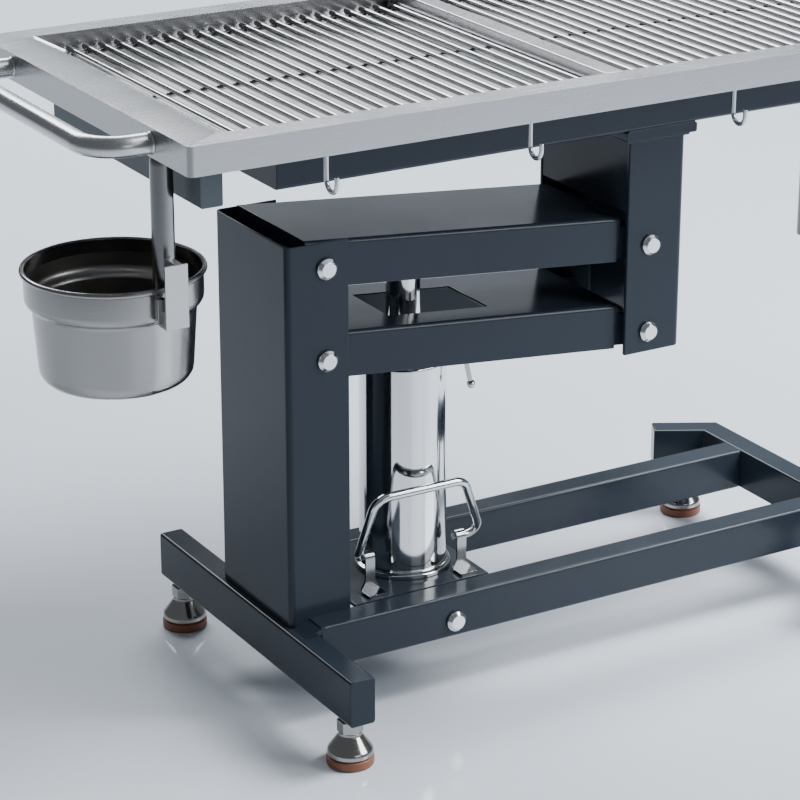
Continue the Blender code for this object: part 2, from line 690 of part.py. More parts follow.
def make_arm(name, pivot_z, has_window):
    """A folded channel with its open side down, and two lugs that carry the front pivot."""
    outline = [(b, a) for a, b in channel_outline(ARM_TOP, ARM_BOTTOM, ARM_WIDTH, ARM_BEND, PLATE)]
    arm = extrusion(name, outline, "X", ARM_START, ARM_END)
    half = ARM_WIDTH / 2
    pieces = []
    for side in (-1, 1):
        across = sorted((side * (half - PLATE + 0.4 * MM), side * (half - PLATE - LUG)))
        shape = arc((ARM_LENGTH, 0), LUG_RADIUS, -90, 90, 10)
        shape += [(ARM_END - 60 * MM, LUG_RADIUS), (ARM_END - 60 * MM, -LUG_RADIUS)]
        pieces.append(extrusion(f"{name}_lug{side}", shape, "Y", *across))
    lip_z = (ARM_TOP - LIP_DROP, ARM_TOP - MM)
    lip = box(f"{name}_lip", (ARM_START, ARM_START + PLATE), (-half + ARM_BEND, half - ARM_BEND), lip_z)
    pieces.append(lip)
    holes = []
    for label, x in (("rear", 0.0), ("front", ARM_LENGTH)):
        start = (x, -half - MM, 0)
        holes.append(cylinder(f"{name}_hole_{label}", start, (x, half + MM, 0), BUSH_D / 2 + GAP, 32))
    if has_window:
        across = (-WINDOW_WIDTH / 2, WINDOW_WIDTH / 2)
        window = rounded_rectangle(WINDOW, across, 3 * MM, 2)
        holes.append(extrusion(f"{name}_window", window, "Z", ARM_TOP - 6 * MM, ARM_TOP + 5 * MM))
    for helper in pieces + holes:
        helper.matrix_world = arm_matrix(pivot_z)
    finish(arm, COATED)
    arm.matrix_world = arm_matrix(pivot_z)
    add(arm, *pieces)
    return cut(arm, *holes)


def make_bush(name, x, z, half):
    profile = [(BOLT_D / 2 + GAP, half), (BUSH_D / 2, half), (BUSH_D / 2, -half), (BOLT_D / 2 + GAP, -half)]
    bush = lathe(name, profile, (x, 0, z), "Y", 20)
    return finish(bush, POLISHED, (x, 0, z))


def make_bolt(name, x, z, half):
    """A chamfered round head on the near side, and a shank right through to the far nut."""
    face = half + GAP
    tail = half + NUT_HEIGHT + 4 * MM
    profile = [
        (0, face + BOLT_HEAD), (BOLT_HEAD_D / 2 - BOLT_CHAMFER, face + BOLT_HEAD),
        (BOLT_HEAD_D / 2, face + BOLT_HEAD - BOLT_CHAMFER), (BOLT_HEAD_D / 2, face),
        (BOLT_D / 2, face), (BOLT_D / 2, -tail + MM), (BOLT_D / 2 - MM, -tail), (0, -tail),
    ]
    return finish(lathe(name, profile, (x, 0, z), "-Y", 20), POLISHED)


def make_nut(name, x, z, half):
    nut = hexagon(name, NUT_AF, "Y", (x, z), half + GAP, half + GAP + NUT_HEIGHT)
    start = (x, half - 5 * MM, z)
    end = (x, half + NUT_HEIGHT + 10 * MM, z)
    cut(nut, cylinder(f"{name}_bore", start, end, BOLT_D / 2 + GAP, 24))
    return finish(nut, POLISHED)


def shrunk(pair):
    """The inside of a tube between two outer faces."""
    return (pair[0] + TUBE_WALL, pair[1] - TUBE_WALL)


# Base: crossbeam, two rails and the splayed crossbeam at the other end

def make_base():
    outline = rounded_rectangle(BEAM_X, BEAM_Z, TUBE_RADIUS)
    beam = extrusion("base_crossbeam_left", outline, "Y", -BEAM_HALF, BEAM_HALF)
    hollow = BEAM_HALF - TUBE_WALL
    cut(beam, box("beam_hollow", shrunk(BEAM_X), (-hollow, hollow), shrunk(BEAM_Z)))
    for side in (-1, 1):
        start = (FOOT_X, side * FOOT_Y, BEAM_Z[0] - 5 * MM)
        end = (FOOT_X, side * FOOT_Y, STUD_TOP + 2 * MM)
        cut(beam, cylinder(f"beam_stud_hole{side}", start, end, STUD_D / 2 + GAP, 20))
    finish(beam, COATED)

    for name, side in (("base_rail_near", -1), ("base_rail_far", 1)):
        across = tuple(sorted((side * RAIL_Y[0], side * RAIL_Y[1])))
        outline = rounded_rectangle(across, RAIL_Z, TUBE_RADIUS)
        (low, high), (bottom, top) = shrunk(across), shrunk(RAIL_Z)
        hollow = [(low, bottom), (low, top), (high, top), (high, bottom)]
        rail = extrusion(name, [outline, hollow], "X", BEAM_X[1] + GAP, CROSS_X[0] - GAP)
        if side < 0:
            start = (RAIL_BOLT_X, -RAIL_Y[1] - 5 * MM, RAIL_BOLT_Z)
            end = (RAIL_BOLT_X, -RAIL_Y[0] + 5 * MM, RAIL_BOLT_Z)
            cut(rail, cylinder("rail_bolt_hole", start, end, BOLT_D / 2 + GAP, 24))
        finish(rail, COATED)

    inner = CROSS_HALF - 20 * MM
    inner_run = 0.76
    upper = [
        (CROSS_X[1], CROSS_HALF), (CROSS_X[1] + LEG_DX, CROSS_HALF + LEG_DY),
        (CROSS_X[0] + LEG_DX * inner_run, inner + LEG_DY * inner_run), (CROSS_X[0], inner),
    ]
    lower = [(x, -y) for x, y in reversed(upper)]
    cross = extrusion("base_crossbeam_right", upper + lower, "Z", *RAIL_Z)
    bm = bmesh.new()
    bm.from_mesh(cross.data)
    level = [e for e in bm.edges if abs(e.verts[0].co.z - e.verts[1].co.z) < MM and e.is_manifold]
    level = [e for e in level if abs(abs(e.link_faces[0].normal.z) - abs(e.link_faces[1].normal.z)) > 0.5]
    bmesh.ops.bevel(bm, geom=level, offset=3 * MM, segments=2, profile=0.5, affect="EDGES")
    bm.to_mesh(cross.data)
    bm.free()
    inside = CROSS_HALF - 24 * MM
    cut(cross, box("cross_hollow", shrunk(CROSS_X), (-inside, inside), shrunk(RAIL_Z)))
    middle = sum(CROSS_X) / 2
    vent = ((middle, 0, RAIL_Z[0] - 5 * MM), (middle, 0, RAIL_Z[0] + 9 * MM))
    cut(cross, cylinder("cross_vent", *vent, VENT_D / 2, 12))
    for side in (-1, 1):
        start = (LEG_FOOT_X, side * LEG_FOOT_Y, RAIL_Z[0] - 5 * MM)
        end = (LEG_FOOT_X, side * LEG_FOOT_Y, RAIL_Z[0] + STUD_TOP - BEAM_Z[0] + 2 * MM)
        cut(cross, cylinder(f"leg_stud_hole{side}", start, end, STUD_D / 2 + GAP, 20))
    finish(cross, COATED)

    shank_end = RAIL_Y[0] - BASE_PLATE - 12 * MM
    face = RAIL_Y[1] + GAP
    profile = [
        (0, face + BOLT_HEAD), (BOLT_HEAD_D / 2 - BOLT_CHAMFER, face + BOLT_HEAD),
        (BOLT_HEAD_D / 2, face + BOLT_HEAD - BOLT_CHAMFER), (BOLT_HEAD_D / 2, face),
        (BOLT_D / 2, face), (BOLT_D / 2, shank_end), (0, shank_end),
    ]
    finish(lathe("rail_bolt", profile, (RAIL_BOLT_X, 0, RAIL_BOLT_Z), "-Y", 20), POLISHED)


def make_foot(name, pad_name, x, y, beam_bottom):
    """A levelling foot: rubber pad, cone, lock nut and threaded stud."""
    nut_top = beam_bottom - GAP - 5 * MM
    nut_bottom = nut_top - (FOOT_NUT_TOP - CONE_TOP_Z)
    lift = STUD_TOP + beam_bottom - BEAM_Z[0]
    seat = PAD_HEIGHT - 6 * MM
    profile = [
        (0, lift), (STUD_D / 2 - MM, lift), (STUD_D / 2, lift - MM), (STUD_D / 2, nut_bottom),
        (CONE_TOP_D / 2, nut_bottom), (CONE_TOP_D / 2, CONE_TOP_Z - 3 * MM),
        (PAD_D / 2 - 2.5 * MM, PAD_HEIGHT + 7 * MM), (PAD_D / 2 - MM, PAD_HEIGHT + 4.5 * MM),
        (PAD_D / 2 - MM, PAD_HEIGHT + GAP),
        (PAD_D / 2 - 6 * MM, PAD_HEIGHT + GAP), (PAD_D / 2 - 6 * MM, seat + GAP), (0, seat + GAP),
    ]
    foot = lathe(name, profile, (x, y, 0), "Z", 20)
    add(foot, hexagon(f"{name}_nut", FOOT_NUT_AF, "Z", (x, y), nut_bottom, nut_top))
    finish(foot, NICKEL, (x, y, 0))
    rubber = [
        (0, seat), (PAD_D / 2 - 6 * MM + GAP, seat), (PAD_D / 2 - 6 * MM + GAP, PAD_HEIGHT),
        (PAD_D / 2 - MM, PAD_HEIGHT), (PAD_D / 2, PAD_HEIGHT - 2 * MM), (PAD_D / 2, 2 * MM),
        (PAD_D / 2 - 2 * MM, 0), (0, 0),
    ]
    finish(lathe(pad_name, rubber, (x, y, 0), "Z", 20), RUBBER, (x, y, 0))


# Foot pump

def make_pump():
    flange_y = RAIL_Y[0] - GAP
    top = RAIL_Z[1]
    outline = [
        (-flange_y, top), (flange_y, top), (flange_y, top - BASE_PLATE_FLANGE),
        (flange_y - BASE_PLATE, top - BASE_PLATE_FLANGE), (flange_y - BASE_PLATE, top - BASE_PLATE),
        (-flange_y + BASE_PLATE, top - BASE_PLATE), (-flange_y + BASE_PLATE, top - BASE_PLATE_FLANGE),
        (-flange_y, top - BASE_PLATE_FLANGE),
    ]
    plate = extrusion("pump_base_plate", outline, "X", *BASE_PLATE_X)
    start = (RAIL_BOLT_X, -flange_y - 5 * MM, RAIL_BOLT_Z)
    end = (RAIL_BOLT_X, -flange_y + BASE_PLATE + 5 * MM, RAIL_BOLT_Z)
    cut(plate, cylinder("plate_bolt_hole", start, end, BOLT_D / 2 + GAP, 24))
    finish(plate, COATED)

    floor = top + GAP
    ring = [
        (CYLINDER_D / 2 + GAP, floor + RING_HEIGHT), (RING_D / 2 - 2 * MM, floor + RING_HEIGHT),
        (RING_D / 2, floor + RING_HEIGHT - 2 * MM), (RING_D / 2, floor), (CYLINDER_D / 2 + GAP, floor),
    ]
    finish(lathe("pump_base_ring", ring, (PUMP_X, 0, 0), "Z", 32), CHROME)

    inner = CYLINDER_D / 2 - CYLINDER_WALL
    body = [
        (0, floor + CYLINDER_FLOOR), (inner, floor + CYLINDER_FLOOR), (inner, CYLINDER_TOP),
        (CYLINDER_D / 2 - MM, CYLINDER_TOP), (CYLINDER_D / 2, CYLINDER_TOP - MM), (CYLINDER_D / 2, floor),
        (0, floor),
    ]
    finish(lathe("pump_cylinder", body, (PUMP_X, 0, 0), "Z", 32), CHROME)

    bore = RAM_D / 2 + GAP
    outer = inner - GAP
    gland = [
        (bore, GLAND_BOSS_TOP), (GLAND_BOSS_D / 2 - 2 * MM, GLAND_BOSS_TOP),
        (GLAND_BOSS_D / 2, GLAND_BOSS_TOP - 2 * MM), (GLAND_BOSS_D / 2, GLAND_TOP), (outer, GLAND_TOP),
        (outer, GLAND_BOTTOM), (bore, GLAND_BOTTOM),
    ]
    cap = lathe("pump_gland", gland, (PUMP_X, 0, 0), "Z", 32)
    way = Vector((math.cos(LEVER_ANGLE), math.sin(LEVER_ANGLE), 0))
    hub = Vector((PUMP_X, 0, LEVER_Z))
    inside = GLAND_BOSS_D / 2 - 9 * MM
    start = hub + way * (inside - GAP)
    cut(cap, cylinder("lever_hole", start, hub + way * 60 * MM, LEVER_WIRE / 2 + GAP, 16))
    finish(cap, POLISHED)

    corner = hub + way * LEVER_REACH
    ball_at = corner + way * 9 * MM + Vector((0, 0, -40 * MM))
    path = fillet([hub + way * inside, corner, ball_at], 7 * MM, 4)
    lever = wire("release_lever", path, LEVER_WIRE / 2, 3)
    bm = bmesh.new()
    bmesh.ops.create_uvsphere(
        bm, u_segments=16, v_segments=10, radius=LEVER_BALL_D / 2, matrix=Matrix.Translation(ball_at)
    )
    mesh = bpy.data.meshes.new("lever_ball")
    bm.to_mesh(mesh)
    bm.free()
    add(lever, mesh_object("lever_ball", mesh))
    finish(lever, CHROME, hub + way * inside)

    roller_z = roller_height()
    cheek_top = roller_z + 6 * MM
    ram = cylinder("piston_rod", (PUMP_X, 0, RAM_BOTTOM), (PUMP_X, 0, cheek_top), RAM_D / 2, 32)
    shoulder = roller_z - ROLLER_D / 2 - 4 * MM
    half = ROLLER_LENGTH / 2 + GAP
    wide = (-RAM_D, RAM_D)
    x = (PUMP_X - RAM_D, PUMP_X + RAM_D)
    cut(ram, box("fork_slot", x, (-half, half), (shoulder, cheek_top + 5 * MM)))
    for side in (-1, 1):
        edge = sorted((PUMP_X + side * 12 * MM, PUMP_X + side * RAM_D))
        cut(ram, box(f"fork_side{side}", edge, wide, (shoulder + 3 * MM, cheek_top + 5 * MM)))
    pin_start = (PUMP_X, -RAM_D, roller_z)
    pin_end = (PUMP_X, RAM_D, roller_z)
    cut(ram, cylinder("fork_bore", pin_start, pin_end, ROLLER_PIN_D / 2 + GAP, 12))
    finish(ram, CHROME, (PUMP_X, 0, RAM_BOTTOM))

    half = ROLLER_LENGTH / 2
    pin_half = math.sqrt((RAM_D / 2) ** 2 - (12 * MM) ** 2)
    roller = [
        (0, pin_half), (ROLLER_PIN_D / 2, pin_half), (ROLLER_PIN_D / 2, half), (ROLLER_D / 2 - MM, half),
        (ROLLER_D / 2, half - MM), (ROLLER_D / 2, -half + MM), (ROLLER_D / 2 - MM, -half),
        (ROLLER_PIN_D / 2, -half), (ROLLER_PIN_D / 2, -pin_half), (0, -pin_half),
    ]
    finish(lathe("lift_roller", roller, (PUMP_X, 0, roller_z), "Y", 20), POLISHED, (PUMP_X, 0, roller_z))


def roller_height():
    """Height of the roller's centre when it carries the underside of the upper arm's deck."""
    reach = PUMP_X - REAR_PIVOT_X
    under = ARM_TOP - PLATE
    touching = reach * math.tan(ARM_ANGLE) + (under - ROLLER_D / 2) / math.cos(ARM_ANGLE)
    return UPPER_PIVOT_Z + touching - ROLLER_REST_GAP


def make_pedal():
    low_left = (PEDAL_X[0], PEDAL_Y, PEDAL_Z)
    low_right = (PEDAL_X[1], PEDAL_Y, PEDAL_Z)
    inner_left = (BRACKET_X[0] + BRACKET_WIDTH / 2 + 2 * MM, PEDAL_Y, PEDAL_Z)
    inner_right = (BRACKET_X[1] - BRACKET_WIDTH / 2 - 2 * MM, PEDAL_Y, PEDAL_Z)
    bar_left = (PEDAL_BAR_X[0], PEDAL_BAR_Y, PEDAL_BAR_Z)
    bar_right = (PEDAL_BAR_X[1], PEDAL_BAR_Y, PEDAL_BAR_Z)
    path = fillet(
        [inner_left, low_left, bar_left, bar_right, low_right, inner_right],
        [6 * MM, 18 * MM, 18 * MM, 8 * MM], 4,
    )
    finish(wire("foot_pedal", path, PEDAL_WIRE / 2, 3), CHROME, (PUMP_X, PEDAL_Y, PEDAL_Z))
    floor = RAIL_Z[1] + GAP
    bore = PEDAL_WIRE / 2 + GAP
    ring = bore + BRACKET
    front = PEDAL_Y - ring
    for name, middle in (("pedal_bracket_left", BRACKET_X[0]), ("pedal_bracket_right", BRACKET_X[1])):
        outline = [
            (front - BRACKET_FOOT, floor), (front + BRACKET, floor), (front + BRACKET, PEDAL_Z - ring + MM),
            (PEDAL_Y, PEDAL_Z - ring),
        ]
        outline += arc((PEDAL_Y, PEDAL_Z), ring, -75, 180, 14)
        outline += [(front, floor + BRACKET), (front - BRACKET_FOOT, floor + BRACKET)]
        across = (middle - BRACKET_WIDTH / 2, middle + BRACKET_WIDTH / 2)
        bracket = extrusion(name, outline, "X", *across)
        start = (middle - 20 * MM, PEDAL_Y, PEDAL_Z)
        end = (middle + 20 * MM, PEDAL_Y, PEDAL_Z)
        cut(bracket, cylinder(f"{name}_hole", start, end, bore, 20))
        finish(bracket, CHROME)


# Hooks, drains and bucket

def make_hook(name, x, side):
    top = TABLE_TOP - SHEET - GAP
    out = side * (HOOK_Y + 2 * HOOK_RADIUS)
    bend = HOOK_BEND_Z
    path = [(x, side * HOOK_Y, top), (x, side * HOOK_Y, bend)]
    for step in range(1, 8):
        angle = math.radians(180 * step / 8)
        y = HOOK_Y + HOOK_RADIUS - HOOK_RADIUS * math.cos(angle)
        path.append((x, side * y, bend - HOOK_RADIUS * math.sin(angle)))
    path += [(x, out, bend), (x, out, HOOK_TIP_Z)]
    return finish(wire(name, path, HOOK_WIRE / 2, 1), POLISHED)


def make_drain(name, side, y, end_z):
    """An elbow out of the basin's end wall that turns down."""
    wall = RAMP_END - 3 * MM
    x = side * PIPE_X
    path = fillet([(side * wall, y, PIPE_Z), (x, y, PIPE_Z), (x, y, end_z)], PIPE_BEND, 5)
    drain = wire(name, path, PIPE_D / 2, 5)
    longer = [Vector((side * (wall - 5 * MM), y, PIPE_Z)), *path[1:-1], Vector((x, y, end_z - 5 * MM))]
    cut(drain, wire(f"{name}_bore", longer, PIPE_D / 2 - PIPE_WALL, 5))
    return finish(drain, BRUSHED)


def make_bucket():
    rim = BUCKET_RIM_Z
    band = rim - BUCKET_BAND
    base = rim - BUCKET_HEIGHT
    roll = BUCKET_ROLL_R
    outer = arc((BUCKET_RIM_R - roll, rim), roll, 150, -120, 5)
    wall = BUCKET_WALL
    profile = [(0, base + wall)]
    profile += [(BUCKET_FOOT_R - 14 * MM, base + wall), (BUCKET_FOOT_R - 5 * MM - wall, base + 5 * MM)]
    profile += [(BUCKET_FOOT_R - wall, base + 14 * MM), (BUCKET_BODY_R - wall, band - 3 * MM)]
    profile += [(BUCKET_BAND_R - 2 * MM - wall, band + 4 * MM), (BUCKET_BAND_R - wall, band + 8 * MM)]
    profile += [(BUCKET_BAND_R - wall, rim - MM)]
    profile += outer
    profile += [(BUCKET_BAND_R, rim - 4.5 * MM), (BUCKET_BAND_R, band + 7 * MM)]
    profile += [(BUCKET_BAND_R - 2 * MM, band + 2 * MM), (BUCKET_BODY_R, band - 5 * MM)]
    profile += [(BUCKET_FOOT_R, base + 13 * MM), (BUCKET_FOOT_R - 5 * MM, base + 3.5 * MM)]
    profile += [(BUCKET_FOOT_R - 14 * MM, base), (0, base)]
    bucket = lathe("bucket", profile, (*BUCKET_AT, 0), "Z", 36)
    middle = sum(HANGER_X) / 2
    reach = BUCKET_AT[0] - middle
    wall_y = BUCKET_AT[1] - math.sqrt((BUCKET_BAND_R - wall) ** 2 - reach ** 2)
    lip_y = hanger_lip_y()
    top = HANGER_LIP_TOP + GAP
    drop_y = (lip_y - PLATE - 3 * MM, lip_y - PLATE - 0.5 * MM)
    bottom = HANGER_LIP_TOP - TAB_DROP
    outline = [
        (wall_y, top), (wall_y, top + 2.5 * MM), (drop_y[0], top + 2.5 * MM), (drop_y[0], bottom),
        (drop_y[1], bottom), (drop_y[1], top),
    ]
    outline.reverse()
    tab = extrusion("bucket_tab", outline, "X", middle - 12 * MM, middle + 12 * MM)
    add(bucket, tab)
    return finish(bucket, BRUSHED, (*BUCKET_AT, rim))


def hanger_lip_y():
    """The back face of the hanger's lip, just clear of the bucket's band."""
    reach = min(abs(BUCKET_AT[0] - x) for x in HANGER_X)
    return BUCKET_AT[1] - math.sqrt(BUCKET_BAND_R ** 2 - reach ** 2) - 0.5 * MM


def make_hanger():
    lip_y = hanger_lip_y()
    front = HANGER_Y
    low = HANGER_BOTTOM
    high = HANGER_TOP
    outline = [
        (front, high), (front, low), (lip_y, low), (lip_y, HANGER_LIP_TOP), (lip_y - PLATE, HANGER_LIP_TOP),
        (lip_y - PLATE, low + PLATE), (front + PLATE, low + PLATE), (front + PLATE, high),
    ]
    hanger = extrusion("bucket_hanger", outline, "X", *HANGER_X)
    pipe_x = -PIPE_X
    reach = (front + MM, LEFT_PIPE_Y - PIPE_D / 2 + 3 * MM)
    stub = box("hanger_stub", (pipe_x - 6 * MM, pipe_x + 3.5 * MM), reach, (high - 13 * MM, high - MM))
    add(hanger, stub)
    start = (pipe_x, LEFT_PIPE_Y, high - 30 * MM)
    end = (pipe_x, LEFT_PIPE_Y, high + 30 * MM)
    cut(hanger, cylinder("hanger_saddle", start, end, PIPE_D / 2 + GAP, 32))
    return finish(hanger, BRUSHED)


make_tray()
make_divider()
make_grate("grate_left", -1)
make_grate("grate_right", 1)
make_handle("handle_left", -1)
make_handle("handle_right", 1)
make_tray_frame()
make_subframe()
make_head_plate()
make_front_column()
make_fixed_column()
make_arm("upper_arm", UPPER_PIVOT_Z, False)
make_arm("lower_arm", LOWER_PIVOT_Z, True)
for row, pivot_z in (("upper", UPPER_PIVOT_Z), ("lower", LOWER_PIVOT_Z)):
    front_z = pivot_z + FRONT_PIVOT_DZ
    make_bush(f"bush_rear_{row}", REAR_PIVOT_X, pivot_z, ARM_WIDTH / 2 - GAP)
    make_bush(f"bush_front_{row}", FRONT_PIVOT_X, front_z, FRONT_WIDTH / 2 - FRONT_PLATE - GAP)
    make_bolt(f"pivot_bolt_rear_{row}", REAR_PIVOT_X, pivot_z, COLUMN_WIDTH / 2)
    make_bolt(f"pivot_bolt_front_{row}", FRONT_PIVOT_X, front_z, FRONT_WIDTH / 2)
    make_nut(f"pivot_nut_rear_{row}", REAR_PIVOT_X, pivot_z, COLUMN_WIDTH / 2)
    make_nut(f"pivot_nut_front_{row}", FRONT_PIVOT_X, front_z, FRONT_WIDTH / 2)
make_base()
FEET = (
    ("near_left", FOOT_X, -FOOT_Y, BEAM_Z[0]), ("far_left", FOOT_X, FOOT_Y, BEAM_Z[0]),
    ("near_right", LEG_FOOT_X, -LEG_FOOT_Y, RAIL_Z[0]), ("far_right", LEG_FOOT_X, LEG_FOOT_Y, RAIL_Z[0]),
)
for place, foot_x, foot_y, bottom in FEET:
    make_foot(f"levelling_foot_{place}", f"foot_pad_{place}", foot_x, foot_y, bottom)
make_pump()
make_pedal()
for number, hook_x in enumerate(HOOK_X, 1):
    make_hook(f"hook_near_{number}", hook_x, -1)
    make_hook(f"hook_far_{number}", hook_x, 1)
make_drain("drain_pipe_left", -1, LEFT_PIPE_Y, TABLE_TOP - LEFT_PIPE_DROP)
make_drain("drain_pipe_right", 1, RIGHT_PIPE_Y, TABLE_TOP - RIGHT_PIPE_DROP)
make_hanger()
make_bucket()

left_end = BUCKET_AT[0] - BUCKET_RIM_R
right_end = HALF_LENGTH + HANDLE_REACH + HANDLE_D / 2
to_middle = Matrix.Translation((-(left_end + right_end) / 2, 0, 0))
bpy.context.view_layer.update()
for piece in (*PARTS.objects, *CUTTERS.objects):
    piece.matrix_world = to_middle @ piece.matrix_world
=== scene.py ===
import math

import bpy
from mathutils import Matrix, Vector


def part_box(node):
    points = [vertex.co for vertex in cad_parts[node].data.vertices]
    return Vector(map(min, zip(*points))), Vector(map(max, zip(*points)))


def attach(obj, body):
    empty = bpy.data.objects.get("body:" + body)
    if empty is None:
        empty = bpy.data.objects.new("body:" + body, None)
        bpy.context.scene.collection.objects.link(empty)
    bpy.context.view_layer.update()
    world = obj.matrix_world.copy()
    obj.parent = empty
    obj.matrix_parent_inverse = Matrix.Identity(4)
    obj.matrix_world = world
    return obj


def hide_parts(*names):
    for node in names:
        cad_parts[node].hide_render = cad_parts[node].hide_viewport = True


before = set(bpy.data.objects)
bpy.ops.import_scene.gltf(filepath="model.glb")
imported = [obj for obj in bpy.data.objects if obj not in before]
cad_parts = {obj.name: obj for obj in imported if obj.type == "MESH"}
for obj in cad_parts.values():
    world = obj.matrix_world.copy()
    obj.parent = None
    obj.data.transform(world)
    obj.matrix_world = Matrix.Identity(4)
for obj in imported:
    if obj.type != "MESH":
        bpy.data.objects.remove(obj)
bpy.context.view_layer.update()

MM = 0.001

# Main heights and places. Places along X are laid out from the middle of the tray, and TO_MIDDLE
# moves them so that the origin is under the middle of the whole object.
TO_MIDDLE = 11 * MM
TABLE_TOP = 864 * MM
LEDGE_Z = 840.4 * MM
BASIN_Z = 813.5 * MM
ROD_TOP = 848.7 * MM
REAR_PIVOT_X = -314 * MM + TO_MIDDLE
UPPER_PIVOT_Z = 615.5 * MM
LOWER_PIVOT_Z = 493 * MM
ARM_TILT = math.radians(5.2)
DRAIN_RADIUS = 14 * MM
DRAIN_LEFT_Y = -152 * MM
DRAIN_RIGHT_Y = 54 * MM

# Points that lie closer than this are made one, with a finer limit in turned and swept shapes
MERGE = 0.02 * MM
FINE_MERGE = 0.002 * MM

collection = bpy.data.collections.new("operating_table_finish")
bpy.context.scene.collection.children.link(collection)


# Modelling helpers

def only(obj):
    """Selects one object and makes it active."""
    bpy.ops.object.select_all(action="DESELECT")
    obj.select_set(True)
    bpy.context.view_layer.objects.active = obj
    return obj


def named(name):
    """Names the primitive just made and applies its place and size."""
    obj = bpy.context.active_object
    obj.name = name
    obj.data.name = name
    bpy.ops.object.transform_apply(location=True, rotation=True, scale=True)
    return obj


def block(name, x, y, z):
    """A box between two limits on each axis."""
    bpy.ops.object.select_all(action="DESELECT")
    middle = ((x[0] + x[1]) / 2, (y[0] + y[1]) / 2, (z[0] + z[1]) / 2)
    bpy.ops.mesh.primitive_cube_add(size=1, location=middle)
    bpy.context.active_object.scale = (x[1] - x[0], y[1] - y[0], z[1] - z[0])
    return named(name)


def limits(node):
    """A CAD node's limits on each axis, as block and folded take them."""
    low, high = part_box(node)
    return (low.x, high.x), (low.y, high.y), (low.z, high.z)


def bar(name, start, end, radius, sides):
    """A round bar between two points."""
    bpy.ops.object.select_all(action="DESELECT")
    start = Vector(start)
    end = Vector(end)
    along = end - start
    bpy.ops.mesh.primitive_cylinder_add(
        vertices=sides, radius=radius, depth=along.length, location=(start + end) / 2,
        rotation=along.to_track_quat("Z", "Y").to_euler(),
    )
    return named(name)


def whole(obj):
    """Opens an object in edit mode with all of it selected."""
    only(obj)
    bpy.ops.object.mode_set(mode="EDIT")
    bpy.ops.mesh.select_all(action="SELECT")


def choose(obj, kind, test):
    """Opens an object in edit mode with the faces, edges or vertices selected that pass a test."""
    bpy.context.tool_settings.mesh_select_mode = (kind == "VERT", kind == "EDGE", kind == "FACE")
    only(obj)
    bpy.ops.object.mode_set(mode="EDIT")
    bpy.ops.mesh.select_all(action="DESELECT")
    done()
    mesh = obj.data
    if kind == "FACE":
        for face in mesh.polygons:
            face.select = test(face.center, face.normal)
    elif kind == "EDGE":
        for edge in mesh.edges:
            a, b = (mesh.vertices[i].co for i in edge.vertices)
            edge.select = test((a + b) / 2, (b - a).normalized())
    else:
        for vertex in mesh.vertices:
            vertex.select = test(vertex.co, None)
    bpy.ops.object.mode_set(mode="EDIT")


def done():
    """Leaves edit mode."""
    bpy.ops.object.mode_set(mode="OBJECT")


def outwards(obj):
    """Points all faces out."""
    whole(obj)
    bpy.ops.mesh.normals_make_consistent(inside=False)
    done()


def apply(obj, kind, **settings):
    """Adds one modifier and applies it."""
    only(obj)
    modifier = obj.modifiers.new(kind.title(), kind)
    for key, value in settings.items():
        setattr(modifier, key, value)
    bpy.ops.object.modifier_apply(modifier=modifier.name)
    return obj


def smooth(obj, angle=34):
    """Shades smooth up to an angle in degrees, and keeps large faces flat beside small rounded edges."""
    only(obj)
    bpy.ops.object.shade_smooth_by_angle(angle=math.radians(angle))
    return apply(obj, "WEIGHTED_NORMAL", mode="FACE_AREA", weight=100, keep_sharp=True)


def soften(obj, width, segments, angle=32):
    """Rounds every edge that is sharper than an angle in degrees."""
    apply(
        obj, "BEVEL", width=width, segments=segments, limit_method="ANGLE", angle_limit=math.radians(angle),
        use_clamp_overlap=True,
    )
    return smooth(obj)


def round_off(obj, radius, segments, test):
    """Rounds the edges that pass a test."""
    choose(obj, "EDGE", test)
    bpy.ops.mesh.bevel(offset=radius, segments=segments, affect="EDGES")
    done()


def cut(obj, cutter):
    """Takes a cutter's shape out of an object, and removes the cutter."""
    apply(obj, "BOOLEAN", operation="DIFFERENCE", solver="EXACT", object=cutter)
    bpy.data.objects.remove(cutter, do_unlink=True)
    return obj


def joined(name, *objects):
    """Makes one object of several, named anew."""
    bpy.ops.object.select_all(action="DESELECT")
    for obj in objects:
        obj.select_set(True)
    bpy.context.view_layer.objects.active = objects[0]
    bpy.ops.object.join()
    obj = bpy.context.active_object
    obj.name = name
    return obj


def outline(level, *points):
    """Profile points from millimetres: each has a radius, and a height over a level in metres."""
    return [(radius * MM, level + height * MM) for radius, height in points]


def arc(centre, radius, start, end, steps):
    """Profile points along an arc, with its angles in degrees."""
    points = []
    for step in range(steps + 1):
        angle = math.radians(start + (end - start) * step / steps)
        points.append((centre[0] + radius * math.cos(angle), centre[1] + radius * math.sin(angle)))
    return points


def turned(name, profile, at=(0, 0, 0), turn=Matrix.Identity(4), steps=64):
    """Spins a profile of (radius, height) points round Z, points its faces out and puts it in place."""
    mesh = bpy.data.meshes.new(name)
    edges = [(i, i + 1) for i in range(len(profile) - 1)]
    if profile[0][0] > 0:
        edges.append((len(profile) - 1, 0))
    mesh.from_pydata([(radius, 0, height) for radius, height in profile], edges, [])
    obj = bpy.data.objects.new(name, mesh)
    collection.objects.link(obj)
    whole(obj)
    bpy.ops.mesh.spin(steps=steps, angle=2 * math.pi, center=(0, 0, 0), axis=(0, 0, 1))
    bpy.ops.mesh.select_all(action="SELECT")
    bpy.ops.mesh.remove_doubles(threshold=FINE_MERGE)
    bpy.ops.mesh.normals_make_consistent(inside=False)
    done()
    obj.data.transform(Matrix.Translation(at) @ turn)
    return smooth(obj, 38)


